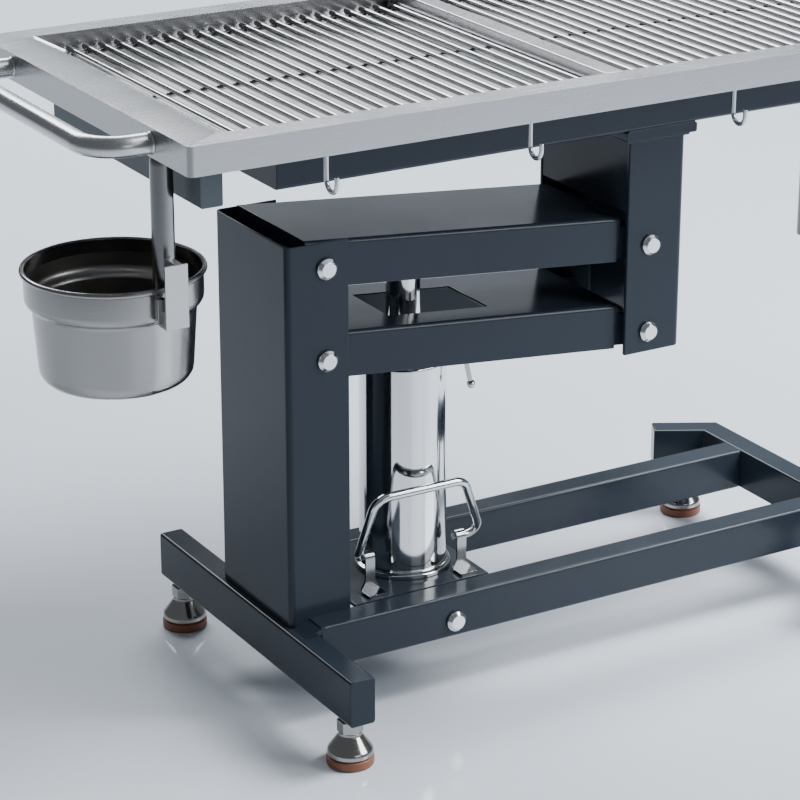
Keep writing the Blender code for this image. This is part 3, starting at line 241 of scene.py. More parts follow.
def bent(points, radii, steps):
    """A path of straight runs with an arc at each corner."""
    points = [Vector(p) for p in points]
    path = [points[0]]
    for before, corner, after, bend in zip(points, points[1:], points[2:], radii):
        back = (before - corner).normalized()
        ahead = (after - corner).normalized()
        half = back.angle(ahead) / 2
        centre = corner + (back + ahead).normalized() * (bend / math.sin(half))
        first = corner + back * (bend / math.tan(half)) - centre
        last = corner + ahead * (bend / math.tan(half)) - centre
        normal = first.cross(last).normalized()
        for step in range(steps + 1):
            path.append(centre + Matrix.Rotation(first.angle(last) * step / steps, 3, normal) @ first)
    path.append(points[-1])
    return path


def swept(name, path, radius, resolution, caps=True, thickness=None):
    """A round wire or tube along a path, with a factor of its radius at each point where that changes."""
    curve = bpy.data.curves.new(name, "CURVE")
    curve.dimensions = "3D"
    curve.bevel_depth = radius
    curve.bevel_resolution = resolution
    curve.use_fill_caps = caps
    spline = curve.splines.new("POLY")
    spline.points.add(len(path) - 1)
    for index, (point, place) in enumerate(zip(spline.points, path)):
        point.co = (*place, 1)
        point.radius = thickness[index] if thickness else 1
    obj = bpy.data.objects.new(name, curve)
    collection.objects.link(obj)
    only(obj)
    bpy.ops.object.convert(target="MESH")
    obj = bpy.context.active_object
    whole(obj)
    bpy.ops.mesh.remove_doubles(threshold=FINE_MERGE)
    if caps:
        bpy.ops.mesh.normals_make_consistent(inside=False)
    done()
    return smooth(obj, 50)


def refined(node, width, segments=3):
    """A copy of a plain CAD solid whose edges are rolled over, as folded and painted sheet is."""
    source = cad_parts[node]
    obj = bpy.data.objects.new(f"{node}_finish", source.data.copy())
    collection.objects.link(obj)
    only(obj)
    bpy.ops.mesh.customdata_custom_splitnormals_clear()
    whole(obj)
    bpy.ops.mesh.remove_doubles(threshold=MERGE)
    bpy.ops.mesh.dissolve_limited(angle_limit=math.radians(2))
    done()
    return soften(obj, width, segments, 40)


def clad(obj, look, body, *nodes):
    """Gives a finished piece its material and its body, and lets it stand for CAD nodes."""
    obj.data.materials.clear()
    obj.data.materials.append(look)
    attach(obj, body)
    if nodes:
        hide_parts(*nodes)
    return obj


# Shared shader groups

def new_group(name, inputs):
    """A shader group that gives a colour, a roughness and a height for the bump."""
    group = bpy.data.node_groups.new(name, "ShaderNodeTree")
    for label, kind, value in inputs:
        group.interface.new_socket(label, in_out="INPUT", socket_type=kind).default_value = value
    for label, kind in (("Colour", "Color"), ("Roughness", "Float"), ("Height", "Float")):
        group.interface.new_socket(label, in_out="OUTPUT", socket_type=f"NodeSocket{kind}")
    return group, group.nodes.new("NodeGroupInput"), group.nodes.new("NodeGroupOutput")


def math_node(group, operation, a, b):
    """Adds, subtracts or multiplies two sockets, or a socket and a number."""
    node = group.nodes.new("ShaderNodeMath")
    node.operation = operation
    for socket, value in zip(node.inputs, (a, b)):
        if hasattr(value, "is_linked"):
            group.links.new(value, socket)
        else:
            socket.default_value = value
    return node.outputs[0]


def noise_node(group, place, detail):
    """A noise texture that is looked up at a place."""
    noise = group.nodes.new("ShaderNodeTexNoise")
    noise.inputs["Detail"].default_value = detail
    group.links.new(place, noise.inputs["Vector"])
    return noise


def centred_noise(group, noise):
    """A noise's value, moved so that it swings about nought."""
    return math_node(group, "SUBTRACT", noise.outputs["Fac"], 0.5)


def hand_out(group, given, result, shade, rough, relief):
    """Gives the chosen colour times a shade, the roughness and the relief."""
    tint = group.nodes.new("ShaderNodeVectorMath")
    tint.operation = "SCALE"
    group.links.new(given.outputs["Colour"], tint.inputs[0])
    group.links.new(shade, tint.inputs["Scale"])
    group.links.new(tint.outputs[0], result.inputs["Colour"])
    group.links.new(rough, result.inputs["Roughness"])
    group.links.new(relief.outputs["Fac"], result.inputs["Height"])


def make_grain_group():
    """Brushing: long fine scratches along one direction, with faint broad cloudiness."""
    cloud_scale = 7
    cloud_on_gloss = 0.12
    scratch_on_colour = 0.22
    group, given, result = new_group(
        "brushed_grain",
        [("Direction", "NodeSocketVector", (1, 1, 1)), ("Fineness", "NodeSocketFloat", 900.0),
         ("Colour", "NodeSocketColor", (0.6, 0.6, 0.6, 1)), ("Roughness", "NodeSocketFloat", 0.3),
         ("Spread", "NodeSocketFloat", 0.12)],
    )
    coordinates = group.nodes.new("ShaderNodeTexCoord")
    stretch = group.nodes.new("ShaderNodeVectorMath")
    stretch.operation = "MULTIPLY"
    group.links.new(coordinates.outputs["Object"], stretch.inputs[0])
    group.links.new(given.outputs["Direction"], stretch.inputs[1])
    scratch = noise_node(group, stretch.outputs[0], detail=4)
    scratch.inputs["Roughness"].default_value = 0.65
    group.links.new(given.outputs["Fineness"], scratch.inputs["Scale"])
    cloud = noise_node(group, coordinates.outputs["Object"], detail=3)
    cloud.inputs["Scale"].default_value = cloud_scale
    scratches = centred_noise(group, scratch)
    spread = math_node(group, "MULTIPLY", scratches, given.outputs["Spread"])
    cloudy = math_node(group, "MULTIPLY", centred_noise(group, cloud), cloud_on_gloss)
    rough = math_node(group, "ADD", given.outputs["Roughness"], spread)
    rough = math_node(group, "ADD", rough, cloudy)
    shade = math_node(group, "MULTIPLY", scratches, scratch_on_colour)
    shade = math_node(group, "ADD", shade, 1.0)
    hand_out(group, given, result, shade, rough, scratch)
    return group


def make_coat_group():
    """Powder coat: fine orange peel, small flecks and slightly uneven gloss."""
    cloud_scale = 5
    cloud_on_gloss = 0.16
    cloud_on_colour = 0.3
    fleck_on_colour = 0.35
    group, given, result = new_group(
        "powder_coat",
        [("Colour", "NodeSocketColor", (0.05, 0.06, 0.07, 1)), ("Roughness", "NodeSocketFloat", 0.35),
         ("Peel size", "NodeSocketFloat", 900.0)],
    )
    coordinates = group.nodes.new("ShaderNodeTexCoord")
    peel = noise_node(group, coordinates.outputs["Object"], detail=2)
    group.links.new(given.outputs["Peel size"], peel.inputs["Scale"])
    cloud = noise_node(group, coordinates.outputs["Object"], detail=4)
    cloud.inputs["Scale"].default_value = cloud_scale
    cloudy = centred_noise(group, cloud)
    rough = math_node(group, "MULTIPLY", cloudy, cloud_on_gloss)
    rough = math_node(group, "ADD", rough, given.outputs["Roughness"])
    fleck = math_node(group, "MULTIPLY", centred_noise(group, peel), fleck_on_colour)
    shade = math_node(group, "MULTIPLY", cloudy, cloud_on_colour)
    shade = math_node(group, "ADD", shade, fleck)
    shade = math_node(group, "ADD", shade, 1.0)
    hand_out(group, given, result, shade, rough, peel)
    return group


GRAIN = make_grain_group()
COAT = make_coat_group()


def finish_from(name, group, values, metallic, bump, depth):
    """A material whose colour, roughness and relief come from a shared group."""
    made = bpy.data.materials.new(name)
    made.use_nodes = True
    tree = made.node_tree
    shader = tree.nodes["Principled BSDF"]
    shader.inputs["Metallic"].default_value = metallic
    node = tree.nodes.new("ShaderNodeGroup")
    node.node_tree = group
    for label, value in values.items():
        node.inputs[label].default_value = value
    relief = tree.nodes.new("ShaderNodeBump")
    relief.inputs["Strength"].default_value = bump
    relief.inputs["Distance"].default_value = depth
    tree.links.new(node.outputs["Colour"], shader.inputs["Base Color"])
    tree.links.new(node.outputs["Roughness"], shader.inputs["Roughness"])
    tree.links.new(node.outputs["Height"], relief.inputs["Height"])
    tree.links.new(relief.outputs["Normal"], shader.inputs["Normal"])
    return made


def brushed(name, direction, colour, roughness, spread, bump):
    """Bare metal, scratched along the axes that have the small numbers in its direction."""
    values = {"Direction": direction, "Fineness": 700.0, "Colour": (*colour, 1), "Roughness": roughness,
              "Spread": spread}
    return finish_from(name, GRAIN, values, metallic=1.0, bump=bump, depth=0.4 * MM)


def coated(name, colour, roughness):
    """Satin powder coat."""
    values = {"Colour": (*colour, 1), "Roughness": roughness, "Peel size": 1100.0}
    made = finish_from(name, COAT, values, metallic=0.0, bump=0.08, depth=0.3 * MM)
    shader = made.node_tree.nodes["Principled BSDF"]
    shader.inputs["Specular IOR Level"].default_value = 0.2
    return made


def rubber(name, colour, roughness):
    """Matt rubber, with the coat's unevenness a little deeper."""
    values = {"Colour": (*colour, 1), "Roughness": roughness, "Peel size": 700.0}
    return finish_from(name, COAT, values, metallic=0.0, bump=0.2, depth=0.4 * MM)


ALONG_X = (0.02, 1, 1)
ALONG_Y = (1, 0.03, 1)
ALONG_Z = (1, 1, 0.03)
ALONG_CYLINDER = (1, 1, 0.02)
ALONG_HANDLE = (0.5, 0.03, 1)
ROUND_BUCKET = (0.03, 0.03, 1.4)
ROUND_FOOT = (0.05, 0.05, 1)
ALL_WAYS = (1, 1, 1)

TRAY_STEEL = brushed(
    "tray_brushed_along", ALONG_X, (0.49, 0.49, 0.495), roughness=0.26, spread=0.1, bump=0.06,
)
BASIN_STEEL = brushed(
    "tray_floor_smooth", ALONG_X, (0.48, 0.48, 0.475), roughness=0.4, spread=0.08, bump=0.04,
)
ROD_STEEL = brushed(
    "rod_polished", ALONG_Y, (0.34, 0.34, 0.345), roughness=0.14, spread=0.06, bump=0.03,
)
HANDLE_STEEL = brushed(
    "handle_brushed", ALONG_HANDLE, (0.56, 0.56, 0.56), roughness=0.27, spread=0.1, bump=0.06,
)
PIPE_STEEL = brushed(
    "pipe_brushed_round", ALONG_Z, (0.22, 0.22, 0.22), roughness=0.24, spread=0.1, bump=0.06,
)
HANGER_STEEL = brushed(
    "hanger_brushed", ALONG_Z, (0.62, 0.61, 0.605), roughness=0.36, spread=0.1, bump=0.06,
)
BUCKET_STEEL = brushed(
    "bucket_brushed_round", ROUND_BUCKET, (0.33, 0.325, 0.32), roughness=0.2, spread=0.3, bump=0.16,
)
# A darker, warmer copy of the bucket's steel for its inner faces: painted shade inside the bucket.
BUCKET_INSIDE_PAINTED_SHADE = brushed(
    "bucket_inside_painted_shade", ROUND_BUCKET, (0.27, 0.26, 0.245), roughness=0.33, spread=0.08, bump=0.05,
)
BOLT_STEEL = brushed(
    "bolt_polished", ALL_WAYS, (0.78, 0.79, 0.8), roughness=0.14, spread=0.06, bump=0.04,
)
BRACKET_STEEL = brushed(
    "bracket_steel", ALL_WAYS, (0.34, 0.35, 0.36), roughness=0.16, spread=0.05, bump=0.03,
)
WIRE_CHROME = brushed(
    "wire_chrome", ALL_WAYS, (0.6, 0.615, 0.63), roughness=0.14, spread=0.05, bump=0.03,
)
CHROME = brushed(
    "pump_chrome", ALONG_CYLINDER, (0.76, 0.77, 0.78), roughness=0.09, spread=0.05, bump=0.03,
)
NICKEL = brushed(
    "foot_nickel", ROUND_FOOT, (0.38, 0.37, 0.355), roughness=0.16, spread=0.08, bump=0.05,
)
SLATE = coated("slate_powder_coat_finish", (0.0225, 0.0305, 0.0415), roughness=0.19)
GREY = coated("grey_powder_coat_finish", (0.1, 0.12, 0.132), roughness=0.34)
RUBBER = rubber("tan_rubber_finish", (0.24, 0.09, 0.048), roughness=0.55)


# Tray and grates

def step_in(tray, middle, inset_x, inset_y, drop):
    """Draws the tray's innermost face in and pushes it down."""
    mesh = tray.data
    heart = Vector((middle, 0))
    inner = min(mesh.polygons, key=lambda face: (face.normal.z < 0.9, (face.center.xy - heart).length))
    size_x = max(abs(mesh.vertices[i].co.x - middle) for i in inner.vertices)
    size_y = max(abs(mesh.vertices[i].co.y) for i in inner.vertices)
    wanted = inner.center.copy()
    choose(tray, "FACE", lambda at, normal: (at - wanted).length < 0.1 * MM)
    bpy.ops.mesh.extrude_region_move(TRANSFORM_OT_translate={"value": (0, 0, -drop)})
    factors = ((size_x - inset_x) / size_x, (size_y - inset_y) / size_y, 1)
    bpy.ops.transform.resize(value=factors, center_override=(middle, 0, wanted.z))
    done()


def make_tray():
    """One folded and welded sheet: skirt, flat rim, end ramps, ledge for the grates, ridged basin floor."""
    low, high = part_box("tray")
    middle = (low.x + high.x) / 2
    skirt = 36 * MM
    rim_x, rim_y = 54.5 * MM, 37.2 * MM
    ramp = 43.5 * MM
    wall_lean = 0.3 * MM
    ledge = 14.6 * MM
    basin_lean = 0.5 * MM
    ridge = 6.5 * MM
    outlet_z = 826 * MM
    outlet_radius = DRAIN_RADIUS + 0.3 * MM
    basin_x, basin_y = 501 * MM, 250 * MM
    bpy.ops.object.select_all(action="DESELECT")
    bpy.ops.mesh.primitive_plane_add(size=1, location=(middle, 0, TABLE_TOP))
    bpy.context.active_object.scale = (high.x - low.x, high.y - low.y, 1)
    tray = named("tray_finish")
    whole(tray)
    bpy.ops.mesh.bevel(offset=7 * MM, segments=6, affect="VERTICES")
    done()
    choose(tray, "EDGE", lambda at, way: True)
    bpy.ops.mesh.extrude_edges_move(TRANSFORM_OT_translate={"value": (0, 0, -skirt)})
    done()
    step_in(tray, middle, rim_x, rim_y, 0)
    step_in(tray, middle, ramp, wall_lean, TABLE_TOP - LEDGE_Z)
    step_in(tray, middle, 0, ledge, 0)
    step_in(tray, middle, basin_lean, basin_lean, LEDGE_Z - BASIN_Z)
    whole(tray)
    bpy.ops.mesh.remove_doubles(threshold=MERGE)
    done()
    choose(tray, "FACE", lambda at, normal: normal.z > 0.9 and at.z < BASIN_Z + 1.5 * MM)
    bpy.ops.mesh.bisect(plane_co=(middle, 0, 0), plane_no=(1, 0, 0))
    done()
    choose(tray, "VERT", lambda at, way: abs(at.x - middle) < MM and at.z < BASIN_Z + 1.5 * MM)
    bpy.ops.transform.translate(value=(0, 0, ridge))
    done()
    outwards(tray)
    apply(tray, "SOLIDIFY", thickness=1.8 * MM, offset=-1)
    for side, y in ((-1, DRAIN_LEFT_Y), (1, DRAIN_RIGHT_Y)):
        start = (middle + side * 494 * MM, y, outlet_z)
        end = (middle + side * 512 * MM, y, outlet_z)
        cut(tray, bar(f"outlet{side}", start, end, outlet_radius, 48))
    soften(tray, 1.1 * MM, 4)
    clad(tray, TRAY_STEEL, "table", "tray")
    tray.data.materials.append(BASIN_STEEL)
    for face in tray.data.polygons:
        inside = abs(face.center.y) < basin_y and abs(face.center.x - middle) < basin_x
        if inside and face.center.z < LEDGE_Z - 2 * MM:
            face.material_index = 1


def make_grate(node):
    """Rods across the tray, welded on three lengthwise wires."""
    low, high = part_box(node)
    rod_radius = 4 * MM
    rods = 22
    pitch = (high.x - low.x - 2 * rod_radius) / (rods - 1)
    half_y = (high.y - low.y) / 2
    first_x = low.x + rod_radius
    rod_z = ROD_TOP - rod_radius
    first = bar(f"{node}_finish", (first_x, -half_y, rod_z), (first_x, half_y, rod_z), rod_radius, 20)
    pieces = [soften(first, 1.2 * MM, 3)]
    for index in range(1, rods):
        rod = bpy.data.objects.new(f"{node}_rod{index}", first.data.copy())
        rod.data.transform(Matrix.Translation((index * pitch, 0, 0)))
        collection.objects.link(rod)
        pieces.append(rod)
    wire_z = ROD_TOP - 2 * rod_radius - 2.1 * MM
    wire_inset = 1.5 * MM
    for y in (-240 * MM, 0, 240 * MM):
        wire = bar(
            f"{node}_cross{y:.2f}", (low.x + wire_inset, y, wire_z), (high.x - wire_inset, y, wire_z),
            3 * MM, 16,
        )
        pieces.append(soften(wire, 0.8 * MM, 2))
    clad(joined(f"{node}_finish", *pieces), ROD_STEEL, f"{node}_body", node)


def make_handle(node, side):
    """A bent tube with a weld bead where each end meets the tray."""
    low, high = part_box(node)
    radius = (high.z - low.z) / 2
    z = (high.z + low.z) / 2
    y = high.y - radius
    root = high.x if side < 0 else low.x
    reach = low.x + radius if side < 0 else high.x - radius
    bend = 45 * MM
    path = bent([(root, -y, z), (reach, -y, z), (reach, y, z), (root, y, z)], (bend, bend), 14)
    pieces = [swept(f"{node}_finish", path, radius, 12)]
    bead = [(radius - 0.4 * MM, 3 * MM), (radius + 0.1 * MM, 1.6 * MM), (radius + 0.5 * MM, 0.6 * MM),
            (radius + 0.8 * MM, 0), (radius - 0.4 * MM, 0)]
    facing = Matrix.Rotation(math.radians(90 * side), 4, "Y")
    for place in (-y, y):
        pieces.append(turned(f"{node}_weld{place:.1f}", bead, (root, place, z), facing, 48))
    clad(joined(f"{node}_finish", *pieces), HANDLE_STEEL, "table", node)


def make_hook(node):
    """A tie-down hook: straight wire down from the tray, and a half turn outwards and up."""
    low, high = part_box(node)
    side = -1 if "near" in node else 1
    x = (low.x + high.x) / 2
    stem = 270 * MM
    curl = 12.5 * MM
    curl_z = 790.5 * MM
    tip_z = 799 * MM
    path = [Vector((x, side * stem, high.z))]
    steps = 16
    for step in range(steps + 1):
        angle = math.pi * step / steps
        y = stem + curl - curl * math.cos(angle)
        path.append(Vector((x, side * y, curl_z - curl * math.sin(angle))))
    path.append(Vector((x, side * (stem + 2 * curl), tip_z)))
    wire = swept(f"{node}_finish", path, 2.9 * MM, 6)
    clad(soften(wire, 1.0 * MM, 3, 60), WIRE_CHROME, "table", node)


# Folded sheet and tube

def folded(name, x, y, z, open_faces, is_fold, fold, wall):
    """Sheet from a box: some faces open, the folds rounded, then given its thickness inwards."""
    sheet = block(name, x, y, z)
    choose(sheet, "FACE", lambda at, normal: any(normal.dot(Vector(way)) > 0.9 for way in open_faces))
    bpy.ops.mesh.delete(type="FACE")
    done()
    round_off(sheet, fold, 6, is_fold)
    return apply(sheet, "SOLIDIFY", thickness=wall, offset=-1)


def make_fixed_column():
    """The rear column: a U open towards the pump."""
    x, y, z = limits("fixed_column")
    column = folded(
        "fixed_column_finish", x, y, z, ((1, 0, 0), (0, 0, 1), (0, 0, -1)),
        lambda at, way: abs(way.z) > 0.9 and at.x < x[0] + MM, fold=8 * MM, wall=3 * MM,
    )
    clad(soften(column, 0.9 * MM, 3), SLATE, "stand", "fixed_column")


def make_front_column():
    """The front column: a deep U open towards the pump, with a closing panel above the arms."""
    x, y, z = limits("front_column")
    panel_low = 619.2 * MM
    column = folded(
        "front_column_finish", x, y, z, ((-1, 0, 0), (0, 0, 1), (0, 0, -1)),
        lambda at, way: abs(way.z) > 0.9 and at.x > x[1] - MM, fold=9 * MM, wall=6 * MM,
    )
    panel = block("front_panel_finish", (x[0] + MM, x[0] + 4 * MM), (y[0] + 5 * MM, y[1] - 5 * MM),
                  (panel_low, z[1] - MM))
    soften(column, 1.6 * MM, 3)
    soften(panel, 0.6 * MM, 2)
    clad(joined("front_column_finish", column, panel), SLATE, "table", "front_column")


def make_arm(node, pivot_z, has_window):
    """A folded channel with a lip behind and two rounded lugs in front, laid out from its rear pivot."""
    half = 93.6 * MM
    rear, front = -31 * MM, 447 * MM
    deck = 35.5 * MM
    arm = folded(
        f"{node}_finish", (rear, front), (-half, half), (-25.5 * MM, deck),
        ((1, 0, 0), (-1, 0, 0), (0, 0, -1)), lambda at, way: abs(way.x) > 0.9 and at.z > 30 * MM,
        fold=6 * MM, wall=3 * MM,
    )
    if has_window:
        window = block("window", (116 * MM, 267 * MM), (-48.2 * MM, 48.2 * MM), (20 * MM, 50 * MM))
        round_off(window, 3 * MM, 4, lambda at, way: abs(way.z) > 0.9)
        cut(arm, window)
    pieces = [soften(arm, 0.9 * MM, 3)]
    lip_half = half - 6 * MM
    lip = block(f"{node}_lip", (rear, rear + 3 * MM), (-lip_half, lip_half), (deck - 18 * MM, deck - MM))
    pieces.append(soften(lip, 0.8 * MM, 2))
    lug_end = 511 * MM
    lug_half = 22 * MM
    for side in (-1, 1):
        across = sorted((side * (half - 2.6 * MM), side * (half - 11 * MM)))
        plate = block(f"{node}_lug{side}", (387 * MM, lug_end), across, (-lug_half, lug_half))
        round_off(
            plate, lug_half - 0.5 * MM, 12, lambda at, way: abs(way.y) > 0.9 and at.x > lug_end - 11 * MM,
        )
        pieces.append(soften(plate, 0.8 * MM, 2))
    arm = joined(f"{node}_finish", *pieces)
    arm.data.transform(Matrix.Translation((REAR_PIVOT_X, 0, pivot_z)) @ Matrix.Rotation(ARM_TILT, 4, "Y"))
    clad(arm, SLATE, f"{node}_body", node)


def make_beam(node, along):
    """A rectangular tube of the base, with rounded long edges and closed ends."""
    beam = block(f"{node}_finish", *limits(node))
    round_off(beam, 4 * MM, 5, lambda at, way: abs(way[along]) > 0.9)
    return clad(soften(beam, 1.2 * MM, 3, 50), SLATE, "stand", node)


def make_near_rail():
    """The near base rail with the ground weld that runs down from its end onto the crossbeam."""
    node = "base_rail_near"
    low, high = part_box(node)
    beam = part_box("base_crossbeam_left")[1]
    column_side = -97.6 * MM
    rail = make_beam(node, 0)
    weld = block(f"{node}_weld", (beam.x - 27 * MM, low.x + 5 * MM), (low.y + 0.4 * MM, column_side),
                 (beam.z - 0.2 * MM, high.z))
    choose(weld, "VERT", lambda at, way: at.x < low.x and at.z > high.z - MM)
    bpy.ops.transform.translate(value=(0, 0, beam.z + 0.4 * MM - high.z))
    done()
    soften(weld, 1.6 * MM, 4, 20)
    clad(joined(f"{node}_finish", rail, weld), SLATE, "stand", node)


def make_head_plate():
    """The head plate with the welds that close the round corners of the channel above it."""
    low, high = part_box("head_plate")
    weld = 2.6 * MM
    weld_z = high.z + 0.6 * MM
    pieces = [refined("head_plate", 1.0 * MM)]
    for side in (-1, 1):
        y = side * (high.y - weld)
        line = bar(f"head_weld{side}", (low.x + 3 * MM, y, weld_z), (high.x - 3 * MM, y, weld_z), weld, 24)
        pieces.append(soften(line, 0.8 * MM, 2, 60))
    clad(joined("head_plate_finish", *pieces), SLATE, "table", "head_plate")


# Bolts, nuts and feet

def make_bolt(node, body):
    """A bolt along Y with a round head whose face is bevelled."""
    low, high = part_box(node)
    x = (low.x + high.x) / 2
    z = (low.z + high.z) / 2
    radius = (high.z - low.z) / 2
    shank = 8 * MM
    top = -low.y
    seat = top - 8 * MM
    profile = [(0, top), (radius - 4.7 * MM, top), (radius - 4.4 * MM, top - 0.12 * MM)]
    profile += [(radius - 0.4 * MM, top - 4.1 * MM), (radius, top - 4.8 * MM)]
    profile += [(radius, seat + 0.4 * MM), (radius - 0.4 * MM, seat), (shank, seat)]
    profile += [(shank, -high.y + MM), (shank - MM, -high.y), (0, -high.y)]
    lying = Matrix.Rotation(math.radians(90), 4, "X")
    bolt = smooth(turned(f"{node}_finish", profile, (x, 0, z), lying), 18)
    clad(bolt, BOLT_STEEL, body, node)


def make_nut(node, body):
    clad(refined(node, 0.7 * MM), BOLT_STEEL, body, node)


def make_foot(place):
    """A levelling foot: threaded stud, lock nut and cone, on its rubber pad."""
    node = f"levelling_foot_{place}"
    low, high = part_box(node)
    x = (low.x + high.x) / 2
    y = (low.y + high.y) / 2
    stud = 8 * MM
    under = 67 * MM if "left" in place else 81 * MM
    nut_top = under - 5.3 * MM
    nut_low = nut_top - 17 * MM
    profile = [(0, high.z), (stud - MM, high.z), (stud, high.z - MM), (stud, under - 0.5 * MM)]
    thread = under - 0.5 * MM
    while thread > nut_low + 1 * MM:
        profile += [(stud, thread), (stud - 0.9 * MM, thread - 0.9 * MM)]
        thread -= 1.8 * MM
    profile += outline(nut_low, (8, 0.2), (14.6, 0.2), (15.2, -0.4))
    profile += outline(0, (15.4, 42), (16, 40.4), (28.2, 23.4), (29.6, 20.8), (30, 18.6), (30, 14.9))
    profile += outline(0, (29.4, 14.3), (25, 14.3), (25, 8.3), (0, 8.3))
    cone = turned(f"{node}_finish", profile, (x, y, 0))
    bpy.ops.object.select_all(action="DESELECT")
    bpy.ops.mesh.primitive_cylinder_add(
        vertices=6, radius=17.3 * MM, depth=nut_top - nut_low, location=(x, y, (nut_top + nut_low) / 2),
    )
    nut = soften(named(f"{node}_nut"), 1.1 * MM, 3)
    clad(joined(f"{node}_finish", cone, nut), NICKEL, f"foot_{place}", node)
    pad_node = f"foot_pad_{place}"
    pad = outline(0, (0, 8), (25.3, 8), (25.3, 14), (27.6, 14), (28, 12.6), (29.6, 12.2), (30.7, 11.5))
    pad += outline(0, (31, 10), (31, 2.2), (30.3, 0.8), (29, 0), (0, 0))
    clad(turned(f"{pad_node}_finish", pad, (x, y, 0)), RUBBER, f"foot_{place}", pad_node)


# Hydraulic pump with its pedal and release lever

def make_pump():
    """The cylinder, open at the top, its base ring, the ram, the roller and the gland."""
    low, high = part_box("pump_cylinder")
    x = (low.x + high.x) / 2
    radius = (high.x - low.x) / 2
    inner = radius - 4 * MM
    floor = low.z + 8 * MM
    tube = [(0, floor), (inner, floor), (inner, high.z - 0.8 * MM), (inner + 0.8 * MM, high.z)]
    tube += [(radius - 1.4 * MM, high.z), (radius - 0.4 * MM, high.z - 0.4 * MM)]
    tube += [(radius, high.z - 1.4 * MM), (radius, low.z), (0, low.z)]
    clad(turned("pump_cylinder_finish", tube, (x, 0, 0), steps=96), CHROME, "stand", "pump_cylinder")
    low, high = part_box("pump_base_ring")
    outer = (high.x - low.x) / 2
    gap = radius + 0.3 * MM
    ring = [(gap, high.z - 0.5 * MM), (gap + 0.6 * MM, high.z), (outer - 3.4 * MM, high.z)]
    ring += [(outer - 2.6 * MM, high.z - 0.5 * MM), (outer - 2.4 * MM, high.z - 2.4 * MM)]
    ring += [(outer - 0.9 * MM, high.z - 3 * MM), (outer, high.z - 4 * MM)]
    ring += [(outer, low.z + 0.6 * MM), (outer - 0.6 * MM, low.z), (gap, low.z)]
    clad(turned("pump_base_ring_finish", ring, (x, 0, 0), steps=96), CHROME, "stand", "pump_base_ring")
    clad(refined("piston_rod", 0.6 * MM, 2), CHROME, "piston", "piston_rod")
    clad(refined("lift_roller", 0.4 * MM, 2), BOLT_STEEL, "roller", "lift_roller")
    clad(refined("pump_gland", 0.8 * MM), BOLT_STEEL, "stand", "pump_gland")


def make_pedal():
    """The pedal's bent rod, a little thinner where its ends turn in the brackets."""
    hinge_y, hinge_z = -57 * MM, 188 * MM
    grip_y, grip_z = -85 * MM, 281 * MM
    left, right = -250 * MM + TO_MIDDLE, -58 * MM + TO_MIDDLE
    left_end, right_end = -225 * MM + TO_MIDDLE, -101 * MM + TO_MIDDLE
    grip_left, grip_right = -236 * MM + TO_MIDDLE, -101 * MM + TO_MIDDLE
    corners = [(left_end, hinge_y, hinge_z), (left, hinge_y, hinge_z), (grip_left, grip_y, grip_z),
               (grip_right, grip_y, grip_z), (right, hinge_y, hinge_z), (right_end, hinge_y, hinge_z)]
    path = bent(corners, (8 * MM, 22 * MM, 24 * MM, 14 * MM), 12)
    swelling_from, swelling_over = hinge_z + 5 * MM, 12 * MM
    thickness = [1 + 0.2 * min(1, max(0, (place[2] - swelling_from) / swelling_over)) for place in path]
    wire = swept("foot_pedal_finish", path, 5 * MM, 8, thickness=thickness)
    clad(soften(wire, 1.2 * MM, 3, 60), WIRE_CHROME, "pedal", "foot_pedal")


def make_bracket(node):
    """A strap curled over the pedal's end, which widens towards its foot on the base plate."""
    low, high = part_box(node)
    middle = (low.x + high.x) / 2
    bracket = refined(node, 0.05 * MM, 1)
    for height in (5 * MM, 9 * MM, 15 * MM, 24 * MM):
        choose(bracket, "FACE", lambda at, normal: True)
        bpy.ops.mesh.bisect(plane_co=(middle, 0, low.z + height), plane_no=(0, 0, 1))
        done()
    for height, wide in ((3 * MM, 1.45), (7 * MM, 1.32), (12 * MM, 1.16), (18 * MM, 1.06)):
        choose(bracket, "VERT", lambda at, way: height - 4 * MM < at.z - low.z < height + 2.9 * MM)
        bpy.ops.transform.resize(value=(wide, 1, 1), center_override=(middle, 0, low.z))
        done()
    round_off(
        bracket, 6 * MM, 6, lambda at, way: abs(way.z) > 0.9 and at.z < low.z + 4 * MM and at.y < low.y + MM,
    )
    clad(soften(bracket, 0.6 * MM, 3, 40), BRACKET_STEEL, "stand", node)


def make_lever():
    """The release lever: a wire that leaves the pump level, turns down and ends in a ball."""
    hub = Vector((-146 * MM + TO_MIDDLE, 0, 442.5 * MM))
    turn = math.radians(-37)
    way = Vector((math.cos(turn), math.sin(turn), 0))
    start = hub + way * 28 * MM
    corner = hub + way * 82 * MM
    ball_at = corner + way * 9 * MM + Vector((0, 0, -40 * MM))
    wire = swept("release_lever_finish", bent([start, corner, ball_at], (7 * MM,), 8), 3.5 * MM, 6)
    bpy.ops.object.select_all(action="DESELECT")
    bpy.ops.mesh.primitive_uv_sphere_add(segments=32, ring_count=20, radius=6 * MM, location=ball_at)
    ball = smooth(named("lever_ball"), 60)
    clad(joined("release_lever_finish", wire, ball), WIRE_CHROME, "release", "release_lever")


# Drains and bucket

def make_drain(node, side, y):
    """A tube out of the basin's end wall that bends down."""
    low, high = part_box(node)
    z = high.z - DRAIN_RADIUS
    wall = 499 * MM * side + TO_MIDDLE
    x = 564 * MM * side + TO_MIDDLE
    path = bent([(wall, y, z), (x, y, z), (x, y, low.z)], (24 * MM,), 14)
    pipe = swept(f"{node}_finish", path, DRAIN_RADIUS, 12, caps=False)
    apply(pipe, "SOLIDIFY", thickness=1.5 * MM, offset=-1)
    outwards(pipe)
    clad(soften(pipe, 0.45 * MM, 2, 60), PIPE_STEEL, "table", node)


